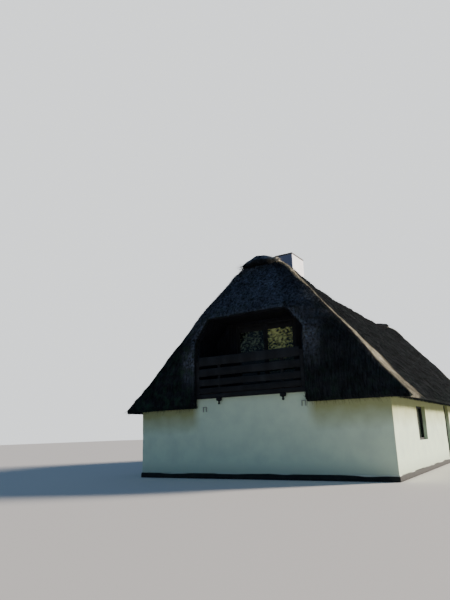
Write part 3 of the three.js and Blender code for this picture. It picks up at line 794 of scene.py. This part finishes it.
# %% [markdown]
# ## Loose straws
# A thatch never ends in a clean line. Thin straws stand out of the slopes and along every cut
# edge. Each is a long thin spike of four faces, so tens of thousands of them stay light. On
# the hood they are short and thick, as the cut butts there are.

# %% Straws
def spike_piece(name, material, slot, starts, directions, outward, lengths, widths, **maps):
    """Long closed spikes: a small triangle at each start and a point at its far end.

    Each of the maps has a value for each spike.
    """
    directions = unit(directions)
    sideways = unit(np.cross(directions, outward)) * widths[:, None] / 2
    lift = np.cross(sideways, directions) * 1.6
    tip = starts + directions * lengths[:, None]
    points = np.stack([starts - sideways, starts + sideways, starts + lift, tip], 1).reshape(-1, 3)
    base = np.arange(len(starts))[:, None, None] * 4
    faces = base + np.array([[0, 2, 1], [0, 1, 3], [1, 2, 3], [2, 0, 3]])
    maps = {key: np.repeat(values, 4, 0) for key, values in maps.items()}
    make_piece(name, points, [faces.reshape(-1, 3)], material, slot, **maps)


def on_grid(grid, row, column):
    """Values of a ring grid at fractional rows and columns, blended from the four around."""
    i = np.clip(row.astype(int), 0, len(grid) - 2)
    j = np.floor(column).astype(int)
    fi, fj = (row - i)[..., None], (column - j)[..., None]
    near, far = j % ring_count, (j + 1) % ring_count
    low, high = (grid[k, near] * (1 - fj) + grid[k, far] * fj for k in (i, i + 1))
    return low * (1 - fi) + high * fi


def straw_piece(name, columns, rows, count, across, reach=(0.10, 0.30), lift=(0.02, 0.12)):
    """Straws that lie on a stretch of thatch with their tips a little out of it."""
    row = rng.uniform(rows[0], rows[-1], count)
    column = rng.uniform(columns[0], columns[-1], count)
    here = on_grid(coat, row, column)
    point, normal = here[:, :3], unit(here[:, 3:6])
    fall = unit(point - on_grid(coat, row + 0.3, column)[:, :3])
    sideways = np.cross(fall, normal)
    way = fall + normal * rng.uniform(*lift, (count, 1))
    way += sideways * rng.normal(0, 0.12, (count, 1))
    length, width = rng.uniform(*reach, count), rng.uniform(0.006, 0.012, count)
    grain = np.stack([here[:, 6], point[:, across]], -1) + rng.uniform(-0.5, 0.5, (count, 2))
    tint = here[:, 7:] + rng.uniform(-0.1, 0.2, (count, 1)) * (0.05, 1, 0.6, 0.5)
    spike_piece(
        name, reed, "thatch", point - normal * 0.006, way, normal, length, width,
        grain=grain, wear=np.clip(tint, 0, 1))


rng = np.random.default_rng(7)
# The rows that carry straws: from one over the eave to the loggia's head, or to the ridge cap.
cheek_rows, slope_rows, hood_rows = all_rows[1:head_row + 5], all_rows[1:-8], above_head[:-6]
straw_piece("straws_cheek_left", left_cheek, cheek_rows, 5500, 0)
straw_piece("straws_cheek_right", right_cheek, cheek_rows, 5500, 0)
straw_piece("straws_hood", hood, hood_rows, 15000, 0, (0.04, 0.12), (0.2, 0.7))
straw_piece("straws_right", right_slope, slope_rows, 26000, 1)
straw_piece("straws_left", left_slope, slope_rows, 22000, 1)
straw_piece("straws_rear", rear_end, slope_rows, 12000, 0)

# %% [markdown]
# ## Cut ends at the edges
# Along the eaves and round the loggia the butts of the reed show. They are short, they point
# down the slope, and shears have left them nearly but not quite in line.

# %% Fringes
def fringe(name, edge, normal, fall, inward, count, drop=0.03):
    """Butts along an edge line, spread from it inwards, whose tips end about drop beyond it."""
    place = rng.random(count) * (len(edge) - 1)
    k = np.minimum(place.astype(int), len(edge) - 2)
    f = (place - k)[:, None]
    depth = rng.random((count, 1)) ** 1.5
    start = edge[k] * (1 - f) + edge[k + 1] * f + np.array(inward) * depth
    way = unit(fall)[k] + normal[k] * rng.normal(0, 0.08, (count, 1))
    way = unit(way + rng.normal(0, 0.07, (count, 3)))
    length = rng.uniform(0.10, 0.20, count)
    start = start + way * (rng.uniform(0.3, 1.0, (count, 1)) * drop - length[:, None])
    width = rng.uniform(0.007, 0.013, count)
    grain = np.stack([rng.random(count), place * 0.07], -1)
    tint = rng.uniform((0, 0.1, 0.0, 0.7), (0.05, 0.5, 0.35, 1.0), (count, 4))
    spike_piece(name, reed, "thatch", start, way, normal[k], length, width, grain=grain, wear=tint)


for name, columns, inward, count in (
    ("right", right_slope, (-0.3, 0, 0), 9000), ("left", left_slope, (0.3, 0, 0), 9000),
    ("rear", rear_end, (0, -0.18, 0), 4500), ("cheek_left", left_cheek, (0, 0.18, 0), 2200),
    ("cheek_right", right_cheek, (0, 0.18, 0), 2200),
):
    edge, normal = skin[:, columns % ring_count], normals[1, columns % ring_count]
    fringe("butts_eave_" + name, edge[0], normal, edge[0] - edge[3], inward, count)

columns, over_head = hood[cheek_columns:-cheek_columns], (0, 0.15, 0)
edge, normal = skin[head_row:, columns], normals[head_row, columns]
fringe("butts_head", edge[0], normal, edge[0] - edge[3], over_head, 2600)
for name, column, inward in (("left", left_cheek[-1], 1), ("right", right_cheek[0], -1)):
    edge, normal = skin[below_head, column], normals[below_head, column]
    fall = unit(np.gradient(-edge, axis=0)) + np.array([inward * 0.10, -0.05, 0])
    fringe("butts_jamb_" + name, edge, normal, fall, over_head, 2200, 0.015)

# %% [markdown]
# ## The ridge cap
# The ridge is closed with a thick hat of heather that follows the roof and turns down over
# both its ends. It is darker and rougher than the reed, and its lower edge is ragged, with a
# thick lip over the gable. It is left open round the chimney. Towards the front its top is
# greyed by weather and by painted sky light, while its lower edge is left dark as painted
# shade under the roll; its right front side gets painted sunlight.

# %% Ridge cap
cap_rows = 22
columns = np.arange(ring_count)
ragged = value_noise(columns / 4.1, columns * 0, 41) + value_noise(columns / 1.7, columns * 0, 42)
foot_y = plain_rings[-8, :, 1]
at_end = np.interp(np.abs(foot_y), [4.6, 6.3], [0, 1])
at_front = at_end * (foot_y < 0)
edge_row = np.interp(cap_edge + 0.15 * at_end - 0.02 * ragged, levels, all_rows)
part = np.linspace(0, 1, cap_rows)[:, None]
row = edge_row + part * (len(levels) - 1.0 - edge_row)
cap_normals = unit(on_grid(normals, row, columns + 0 * row))
cap_bed = swept(on_grid(plain_rings, row, columns + 0 * row))
cap_bed[-1, :, 0] = 0
cap_normals[-1] = (0, 0, 1)
cx, cy, cz = np.moveaxis(cap_bed, -1, 0)
lumps = 0.02 * value_noise(cy / 0.28, (cx + cz) / 0.28, 43)
lumps += 0.012 * value_noise(cy / 0.11, (cx - cz) / 0.11, 44)
lumps += 0.014 * value_noise(cx / 0.16, cy / 0.16, 45)
from_edge = distance_along(cap_bed, 0)
roll = 0.03 * np.exp(-((from_edge - 0.1) / 0.08) ** 2)
roll += 0.12 * at_front * np.exp(-((cx + 0.12) / 0.38) ** 2)
thick = cap_depth + roll + lumps - shear_round(from_edge, 0.09)
middle = (cap_bed[:-1] + np.roll(cap_bed, -1, 1)[1:]) / 2
keep = np.abs(middle[..., 1] - stack_middle) > stack_half
keep |= np.abs(middle[..., 0]) > stack_high[0] - 0.02
# Painted sky light and weather grey the top, most at the front; the lower edge keeps painted shade.
grey_and_skylit_top = np.interp(from_edge, [0.08, 0.24], [0.1, 1]) * np.interp(cy, [-7.0, -3.0], [1, 0.12])
# Painted sunlight on the right side of the cap's front end.
painted_sun_on_cap = np.interp(cx, [0.25, 0.45], [0, 1]) * np.interp(cy, [-6.6, -6.2], [1, 0])
cap_wear = np.stack([painted_sun_on_cap, grey_and_skylit_top, 0 * grey_and_skylit_top, 1 + 0 * grey_and_skylit_top], -1)
skin_piece(
    "ridge_saddle", cap_bed + cap_normals * thick[..., None], cap_bed - cap_normals * 0.03,
    heather, "heather", ["ridge_cap"], keep, wrap=True, wear=[cap_wear] * 2)

# %% [markdown]
# The heather's own twigs stick out of the cap every way, longest at its left front corner,
# where a tuft hangs loose. None stands in the chimney.

# %% Twigs of the cap
twig_count, clear_x, clear_y = 16000, 0.5, 0.6
twig_row = rng.random(twig_count) ** 0.8
twig_column = rng.uniform(0, ring_count, twig_count)
row = np.interp(twig_column, columns, edge_row)
row = row + twig_row * (len(levels) - 1.6 - row)
point = swept(on_grid(plain_rings, row, twig_column))
normal = unit(on_grid(normals, row, twig_column))
fall = unit(point - swept(on_grid(plain_rings, row + 0.4, twig_column)))
tint = on_grid(cap_wear, twig_row * (cap_rows - 1), twig_column)
clear = (np.abs(point[:, 1] - stack_middle) > clear_y) | (np.abs(point[:, 0]) > clear_x)
point, normal, fall = point[clear], normal[clear], fall[clear]
count = len(point)
way = fall + normal * rng.uniform(0, 0.3, (count, 1)) + rng.normal(0, 0.28, (count, 3))
lengths, widths = rng.uniform(0.06, 0.2, count), rng.uniform(0.006, 0.011, count)
lengths *= np.where((point[:, 0] < -0.45) & (point[:, 1] < -6.2), 2.2, 1)
spike_piece(
    "ridge_twigs", heather, "heather", point + normal * (cap_depth - 0.02), way, normal, lengths,
    widths, wear=tint[clear])

# %% [markdown]
# ## Limewashed walls
# The four walls are one skin of render round the house, so their corners stay soft. The skin
# is a ring of columns; window and door openings are left out of it, and its strips become
# their reveals. Years of limewash leave shallow swellings that only low light shows.

# %% The walls' ring
sashes = [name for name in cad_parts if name.startswith("window_frame_")]
windows = {name.removeprefix("window_frame_"): span(name) for name in sashes}
entrance = span("entrance_frame")
holes = [*windows.values(), entrance]
marks = {way: [front, rear] for way in (1, -1)}
for low, high in holes:
    marks[int(np.sign(low[0]))] += [low[1], high[1]]
x_stops, right_stops, left_stops = (
    stops(sorted(places), cell=0.09) for places in ([-side, side], marks[1], marks[-1]))
plan = np.concatenate([
    np.stack(np.broadcast_arrays(x, y), -1) for x, y in (
        (x_stops[:-1], front), (side, right_stops[:-1]), (x_stops[:0:-1], rear),
        (-side, left_stops[:0:-1]))
])
ahead = np.roll(plan, -1, 0) - np.roll(plan, 1, 0)
plan_out = unit(np.stack([ahead[:, 1], -ahead[:, 0]], -1))
plan_run = np.append(0, np.cumsum(np.linalg.norm(np.diff(plan, axis=0), axis=1)))
inner_corner = np.array([side, rear]) - wall_depth
plan_inside = np.clip(plan, -inner_corner, inner_corner)
print("wall ring of", len(plan), "columns,", round(plan_run[-1], 1), "m round")

# %% [markdown]
# The skin is a function of the run round the house and the height. A face is kept where its
# middle lies in no opening.

# %% Walls
def band(outline, out, push, height, inside):
    """Two grids of a band: the outline pushed outwards at each height, and inside at the same."""
    outer = np.concatenate([outline + out * push[..., None], height[..., None]], -1)
    inner = outer.copy()
    inner[..., :2] = inside
    return outer, inner


sill, head = windows["left_1"][0][2], windows["left_1"][1][2]
wall_levels = stops([plinth_top, sill, head, entrance[1][2], wall_top], cell=0.075)
run, level = np.meshgrid(plan_run, wall_levels)
swell = 0.007 * value_noise(run / 0.7, level / 0.5, 51)
swell += 0.003 * value_noise(run / 0.18, level / 0.16, 52)
at_corner = (np.abs(plan) > np.array([side, rear]) - 0.001).all(1)
swell -= 0.006 + 0.012 * at_corner
mid_x, mid_y = ((plan + np.roll(plan, -1, 0)) / 2).T
mid_z = (wall_levels[:-1] + wall_levels[1:])[:, None] / 2
keep = np.ones((len(wall_levels) - 1, len(plan)), bool)
for low, high in holes:
    across = (mid_y > low[1]) & (mid_y < high[1]) & (mid_x * np.sign(low[0]) > side - 0.01)
    keep &= ~(across & (mid_z > low[2]) & (mid_z < high[2]))
four_walls = ["front_wall", "rear_wall", "left_wall", "right_wall"]
skin_piece(
    "limewashed_walls", *band(plan, plan_out, swell, level, plan_inside), limewash, "limewash",
    four_walls, keep, wrap=True, crease=50)

# %% [markdown]
# ## Tarred plinth
# Tar was brushed on by eye, so its upper edge wanders by a finger's width, and the coat
# thickens to a soft roll at the ground.

# %% Plinth
proud = span("plinth")[1][0] - side
plinth_levels = np.array([0.0, 0.012, 0.05, 0.10, 0.135, plinth_top])
profile = np.array([0.0, 0.004, 0.002, 0.0, -0.003, -0.009])
run, level = np.meshgrid(plan_run, plinth_levels)
wander = 0.010 * value_noise(run / 0.5, level * 0, 61)
wander += 0.004 * value_noise(run / 0.12, level * 0, 62)
bulge = proud + profile[:, None] + 0.003 * value_noise(run / 0.3, level / 0.08, 63)
height = level + np.where(level > 0.12, wander, 0)
skin_piece(
    "tarred_foot", *band(plan, plan_out, bulge, height, plan_inside), tar, "tar", ["plinth"],
    wrap=True, crease=50)

# %% [markdown]
# ## Chimney
# A square stack of limewashed brick on the ridge. The coats have rounded its edges, and soft
# courses 75 mm high show through. A thin slate slab closes it, with a line of shade under its
# lip. Both are tubes: a rounded outline carried up, with the flue down the middle.

# %% Tube maker
flue_half = 0.13


def rounded_rectangle(half_x, half_y, radius, steps):
    """Points round a rectangle with rounded corners, anticlockwise from above."""
    turn = np.linspace(0, math.pi / 2, steps)
    arcs = []
    for k, (sx, sy) in enumerate(((1, 1), (-1, 1), (-1, -1), (1, -1))):
        centre = np.array([sx * (half_x - radius), sy * (half_y - radius)])
        a = turn + k * math.pi / 2
        arcs.append(centre + radius * np.stack([np.cos(a), np.sin(a)], -1))
    return np.concatenate(arcs)


def masonry_tube(name, node, radius, heights, push, material, slot):
    """A tube in a node's outline: rounded corners, points 60 mm apart, and a flue down it."""
    low, high = span(node)
    centre, half = (low + high)[:2] / 2, (high - low)[:2] / 2
    corners = rounded_rectangle(*half, radius, 4)
    closed = np.concatenate([corners, corners[:1]])
    sums = np.append(0, np.cumsum(np.linalg.norm(np.diff(closed, axis=0), axis=1)))
    places = stops(sums, cell=0.06)[:-1]
    outline = np.stack([np.interp(places, sums, closed[:, k]) for k in range(2)], -1)
    run, level = np.meshgrid(places, heights)
    inside = np.clip(outline, -flue_half, flue_half) + centre
    grids = band(outline + centre, unit(outline), push(run, level), level, inside)
    skin_piece(name, *grids, material, slot, [node], wrap=True)


# %% [markdown]
# A tube's relief is a function of the run round it and the height: grooves at the courses for
# the shaft, and a chipped edge for the slab.

# %% Shaft and slab
def brick_relief(run, z):
    """Joints 2.5 mm deep every 75 mm under the wash, and lumps of 0.2 m."""
    joints = -0.0025 * np.exp(-((z / 0.075) % 1 - 0.5) ** 2 / 0.01)
    return joints + 0.004 * value_noise(run / 0.2, z / 0.2, 71)


# Few rings where the stack stands in the roof; from just under the cap they carry the courses.
in_roof, shown_from = 5.5, 6.2
heights = stops([shown_from, stack_high[2] - 0.01], cell=0.025)
heights = np.concatenate([[stack_low[2], in_roof], heights])
masonry_tube(
    "chimney_shaft", "chimney_stack", 0.02, heights, brick_relief, chimney_wash, "chimney_render")

slab_low, slab_high = span("chimney_cap")[:, 2]


def slab_relief(run, z):
    """A chipped edge: both arrises worn back by 6 mm, and nicks of 0.1 m."""
    at_arris = np.abs(z - (slab_low + slab_high) / 2) > 0.019
    return 0.003 * value_noise(run / 0.1, z / 0.1, 72) - 0.006 * at_arris


heights = np.array([slab_low - 0.01, slab_low + 0.006, slab_high - 0.006, slab_high])
masonry_tube("chimney_slab", "chimney_cap", 0.015, heights, slab_relief, slate, "slate")

# %% [markdown]
# ## Boards
# A board is a rounded rectangle carried along its length. It is never quite straight: it bows
# by a few millimetres, its arrises are worn, and a waney one still has the log's own wavy
# edge. Each board gets its own stretch of grain.

# %% Board maker
def board(low, high, seed, arris=0.006, bow=0.003, waney=0.0, cell=0.18):
    """One board that fills the box from low to high: a grid of points, and its grain map.

    Its section is a rounded rectangle, carried along the box's longest side and moved sideways
    by smooth noise; waney widens and narrows its height by noise of its own at both edges.
    """
    low, high = np.array(low, float), np.array(high, float)
    size = high - low
    axis = int(np.argmax(size))
    others = [(axis + 1) % 3, (axis + 2) % 3]
    half = size[others] / 2
    radius = min(arris, half.min() * 0.45)
    section = rounded_rectangle(*half, radius, 3)
    inset = min(radius * 0.6, size[axis] * 0.1)
    middle = np.linspace(inset, size[axis] - inset, max(3, round(size[axis] / cell)))
    t = np.concatenate([[0], middle, [size[axis]]])
    shrink = np.ones(len(t))
    shrink[[0, -1]] = 1 - radius * 0.8 / half.min()
    sway = np.stack([value_noise(t / 0.9, t * 0 + k, seed + k) * bow for k in range(2)], -1)
    sway *= np.sin(np.clip(t / size[axis], 0, 1) * math.pi)[:, None] ** 0.5
    ring = section[None] * shrink[:, None, None] + sway[:, None]
    upper, lower = (value_noise(t / 0.45, t * 0 + 0.5, seed + k)[:, None] for k in (5, 6))
    ring[..., 1] += waney * np.where(section[:, 1] > 0, upper, lower)
    points = np.empty((len(t), len(section), 3))
    points[..., axis] = low[axis] + t[:, None]
    points[..., others] = (low + high)[others] / 2 + ring
    shift = np.random.default_rng(seed).uniform(0, 40, 2)
    round_it = np.linalg.norm(np.roll(section, -1, 0) - section, axis=1).cumsum()
    grain = np.broadcast_arrays(t[:, None] + shift[0], round_it[None] + shift[1])
    return points, np.stack(grain, -1)


def boards_piece(name, boards, material, node, slot, crease=35):
    """Joins boards into one mesh that stands for one node.

    A board's faces are the quads of its grid, wrapped round it, and one face at each end.
    """
    sides, ends, start = [], [], 0
    for points, _ in boards:
        number = start + np.arange(points.size // 3).reshape(points.shape[:2])
        sides.append(grid_quads(number, True).reshape(-1, 4))
        ends.append(np.stack([number[0, ::-1], number[-1]]))
        start += number.size
    points = np.concatenate([points.reshape(-1, 3) for points, _ in boards])
    grain = np.concatenate([grain.reshape(-1, 2) for _, grain in boards])
    faces = [np.concatenate(sides), np.concatenate(ends)]
    make_piece(name, points, faces, material, slot, [node], grain, crease=crease)


# %% [markdown]
# ## The railing
# Four wide boards on posts, over a beam along the edge of the deck. They were sawn through
# the log and left waney, so the gaps between them are uneven.

# %% Railing
rail_nodes = [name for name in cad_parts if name.startswith("rail_")]
for k, name in enumerate(rail_nodes):
    waney, bow = (0.011, 0.005) if "board" in name else (0.0, 0.001)
    plank = board(*span(name), 100 + 7 * k, arris=0.009, bow=bow, waney=waney)
    boards_piece("stained_" + name, [plank], stained, name, "stained_timber")
beam = board(*span("balcony_beam"), 131, arris=0.009, bow=0.004)
boards_piece("deck_edge_beam", [beam], stained, "balcony_beam", "stained_timber")

# %% [markdown]
# ## Pendants
# Two turned drops hang under the beam, as old joiners ended a post: each a broad round block
# with a groove near its top, then a thin neck and a small knob. A profile of radii and
# heights, from the bottom up, is spun round an upright axis, and closed as a board is.

# %% Turned pendants
pendant_profile = np.array([
    (0.05, 0.0), (0.24, 0.02), (0.36, 0.08), (0.40, 0.16), (0.34, 0.25), (0.27, 0.33), (0.27, 0.43),
    (0.38, 0.49), (0.70, 0.53), (0.92, 0.58), (1.0, 0.64), (1.0, 0.79), (0.93, 0.82), (1.0, 0.85),
    (1.0, 0.97), (0.97, 1.0),
])
turn = np.linspace(0, 2 * math.pi, 28, endpoint=False)
for name in ("beam_pendant_left", "beam_pendant_right"):
    low, high = span(name)
    radius = pendant_profile[:, :1] * (high - low)[0] / 2
    height = low[2] + pendant_profile[:, 1:] * (high - low)[2] + 0 * turn
    centre = (low + high) / 2
    points = [centre[0] + radius * np.cos(turn), centre[1] + radius * np.sin(turn), height]
    grain = np.stack(np.broadcast_arrays(height, turn * 0.08), -1)
    spun = np.stack(points, -1), grain
    boards_piece("turned_" + name, [spun], stained, name, "stained_timber", crease=40)

# %% [markdown]
# ## The loggia's lining
# The loggia is boarded inside: upright boards on its side walls and back, level ones on its
# ceiling and its two slants. Narrow dark joints between the boards give it its scale.

# %% Side walls and ceiling
joint = 0.006


def strips(start, stop, count):
    """Pairs of edges for count boards between two places, with a joint between each two."""
    edges = np.linspace(start, stop, count + 1)
    return list(zip(edges[:-1] + joint / 2, edges[1:] - joint / 2))


for way, name in ((-1, "loggia_left_wall"), (1, "loggia_right_wall")):
    low, high = span(name)
    boards = [
        board((low[0], a, low[2]), (high[0], b, high[2]), 200 + k + 20 * way, bow=0.001, cell=0.4)
        for k, (a, b) in enumerate(strips(low[1], high[1], 8))
    ]
    boards_piece(name + "_boards", boards, lining_wood, name, "loggia_boards")

ceiling_low, ceiling_high = span("loggia_ceiling")
corners = np.array([
    (-opening_half, chamfer_level), (-opening_top_half, opening_top),
    (opening_top_half, opening_top), (opening_half, chamfer_level),
])
boards = []
for k, (a, b) in enumerate(strips(ceiling_low[1], ceiling_high[1], 8)):
    for m, (start, stop) in enumerate(zip(corners[:-1], corners[1:])):
        length = np.linalg.norm(stop - start)
        seed = 240 + 10 * k + m
        plank, grain = board((0, a, 0), (length, b, lining), seed, bow=0.001, cell=0.5)
        (cos, sin), (run, depth, rise) = (stop - start) / length, np.moveaxis(plank, -1, 0)
        turned = [start[0] + run * cos - rise * sin, depth, start[1] + run * sin + rise * cos]
        boards.append((np.stack(turned, -1), grain))
boards_piece("loggia_ceiling_boards", boards, lining_wood, "loggia_ceiling", "loggia_boards")

# %% [markdown]
# The back wall's boards stand on the deck, or on the door frame's head, and are cut to the
# slant of the ceiling at their upper ends.

# %% Back wall
(back_left, back, _), (back_right, _, _) = span("loggia_back_wall")
door_low, door_high = span("loggia_door_frame")
uncut_top, board_depth = 4.9, 0.06
places = strips(back_left, door_low[0], 6) + strips(door_low[0], door_high[0], 15)
places += strips(door_high[0], back_right, 6)
boards = []
for k, (a, b) in enumerate(places):
    foot = door_high[2] if abs(a + b) / 2 < door_high[0] else deck
    corner = (b, back + board_depth, uncut_top)
    plank, grain = board((a, back, foot), corner, 300 + k, bow=0.001, cell=0.5)
    slant = ([opening_top_half, opening_half], [opening_top, chamfer_level])
    plank[..., 2] = np.minimum(plank[..., 2], np.interp(np.abs(plank[..., 0]), *slant) + lining)
    boards.append((plank, grain))
boards_piece("loggia_back_boards", boards, lining_wood, "loggia_back_wall", "loggia_boards")

# %% [markdown]
# ## Joinery
# Every frame here is a rectangle of bars with the uprights running through, as a joiner
# makes it.

# %% Frame maker
def frame_bars(box, axis, bar, foot, seed, deeper=0.0):
    """Bars round a box whose level side is axis: two uprights, a deeper head, and a foot."""
    (start, bottom), (stop, top) = box[:, [axis, 2]]
    bars = []
    for number, corners in (
        (0, ((start, bottom), (start + bar, top))), (1, ((stop - bar, bottom), (stop, top))),
        (5, ((start + bar, top - bar - deeper), (stop - bar, top))),
        (6, ((start + bar, bottom), (stop - bar, bottom + foot))),
    ):
        bar_box = box.copy()
        bar_box[:, [axis, 2]] = corners
        if number < 6 or foot:
            bars.append(board(*bar_box, seed + number, bow=0.0, cell=0.6))
    return bars


# %% [markdown]
# The glazed doors have a wide bottom rail and a deep head rail, and each window a post in its
# middle. Rails and stiles are as wide as the frame's own pane leaves free. The entrance door
# is planked.

# %% Doors and windows
head_deeper, post_depth = 0.11, 0.038
bars = frame_bars(span("loggia_door_frame"), 0, 0.06, 0, 400)
boards_piece("loggia_frame_bars", bars, joinery, "loggia_door_frame", "joinery")
for k, tag in enumerate(("left", "right")):
    leaf, pane = span("loggia_door_" + tag), span("loggia_glass_" + tag)
    stile, foot = (pane[0] - leaf[0])[[0, 2]]
    bars = frame_bars(leaf, 0, stile, foot, 420 + 10 * k, head_deeper)
    boards_piece("loggia_leaf_" + tag, bars, joinery, "loggia_door_" + tag, "joinery")
for k, (tag, sash) in enumerate(windows.items()):
    pane = span("window_glass_" + tag)
    bar, foot = (pane[0] - sash[0])[1:]
    bars = frame_bars(sash, 1, bar, foot, 460 + 10 * k)
    outside = np.abs(sash[:, 0]).max() * np.sign(sash[0, 0])
    x0, x1 = sorted([outside, outside - np.sign(outside) * post_depth])
    mid = sash[:, 1].mean()
    low, high = (x0, mid - bar / 2, pane[0, 2]), (x1, mid + bar / 2, pane[1, 2])
    bars.append(board(low, high, 480 + k, bow=0))
    boards_piece("window_bars_" + tag, bars, joinery, "window_frame_" + tag, "joinery")
bars = frame_bars(entrance, 1, 0.055, 0, 500)
boards_piece("entrance_bars", bars, joinery, "entrance_frame", "joinery")
low, high = span("entrance_door")
planks = [
    board((low[0], a, low[2] + 0.004), (high[0], b, high[2] - 0.003), 520 + k, bow=0.0)
    for k, (a, b) in enumerate(strips(low[1], high[1], 6))
]
boards_piece("entrance_planks", planks, stained, "entrance_door", "stained_timber")

# %% [markdown]
# ## Pieces whose shape is already right
# Glass, floors and the iron staples keep the frame's own mesh and only get their finish.

# %% Finishes on the frame's own pieces
finishes = {
    "loggia_glass_right": bright_reflection_pane, "loggia_glass_left": dim_reflection_pane, "window_glass": dim_reflection_pane,
    "wall_staple": iron, "ground_floor": slab, "upper_floor": deck_wood,
}
for start, material in finishes.items():
    for name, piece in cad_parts.items():
        if name.startswith(start):
            piece.data.materials[0] = material
            print(name, "is", material.name)

# %% [markdown]
# ## Camera
# The camera stands low, off the house's right corner, and looks up at the gable. Its place,
# its aim and its focal length come from a fit to the gable's corners and roof lines.

# %% Camera
camera_data = bpy.data.cameras.new("camera")
camera = add_object("camera", camera_data)
bpy.context.scene.camera = camera
turn_left, tilt_up, lean = (math.radians(a) for a in (31.1, 14.65, -1.85))
level_ahead = Vector((-math.sin(turn_left), math.cos(turn_left), 0))
forward = level_ahead * math.cos(tilt_up) + Vector((0, 0, math.sin(tilt_up)))
level_right = Vector((math.cos(turn_left), math.sin(turn_left), 0))
level_up = level_right.cross(forward)
right = level_right * math.cos(lean) + level_up * math.sin(lean)
upward = level_up * math.cos(lean) - level_right * math.sin(lean)
camera.matrix_world = Matrix((right, upward, -forward)).transposed().to_4x4()
camera.location = (7.216, -21.153, 1.246)
picture_height, focal_pixels = 600, 512.3
camera_data.sensor_width = 36
camera_data.lens = focal_pixels / picture_height * camera_data.sensor_width
camera_data.clip_end = 500
print("focal length", round(camera_data.lens, 2), "mm")

# %% [markdown]
# ## Studio
# A plain pale floor and backdrop. A broad warm light comes from the right behind the house,
# so the gable is in open shade; the dim, cool light of the surround fills that shade. The
# backdrop is drawn paler for the camera than the light it gives.

# %% Floor and lights
far = 150
floor_mesh = bpy.data.meshes.new("studio_floor")
floor_mesh.from_pydata(
    [(-far, -far, 0), (far, -far, 0), (far, far, 0), (-far, far, 0)], [], [(0, 1, 2, 3)])
floor = add_object("studio_floor", floor_mesh)
paper, _ = new_material("studio_paper")
floor_mesh.materials.append(lay_coats(paper, "#d3d3cf", (), Roughness=0.9))

world = bpy.data.worlds.new("studio")
bpy.context.scene.world = world
world.use_nodes = True
surround = world.node_tree
shade = surround.nodes["Background"]
shade.inputs["Color"].default_value = srgb("#a3c6f2")
shade.inputs["Strength"].default_value = 0.33
seen = add_node(surround, "LightPath", {}, "Is Camera Ray")
backdrop = add_node(surround, "Background", {"Color": srgb("#e3e6e8"), "Strength": 1.7})
both = add_node(surround, "MixShader", {0: seen, 1: shade.outputs[0], 2: backdrop})
feed(surround, surround.nodes["World Output"].inputs["Surface"], both)

key = bpy.data.lights.new("key", "SUN")
key.angle, key.energy, key.color = math.radians(12), 9.8, srgb("#ffefe0")[:3]
towards = Vector((27, 22, 11))
lamp = add_object("key", key)
lamp.location, lamp.rotation_euler = towards, towards.to_track_quat("Z", "Y").to_euler()
print("key light", round(math.degrees(math.asin(towards.normalized().z))), "degrees up")
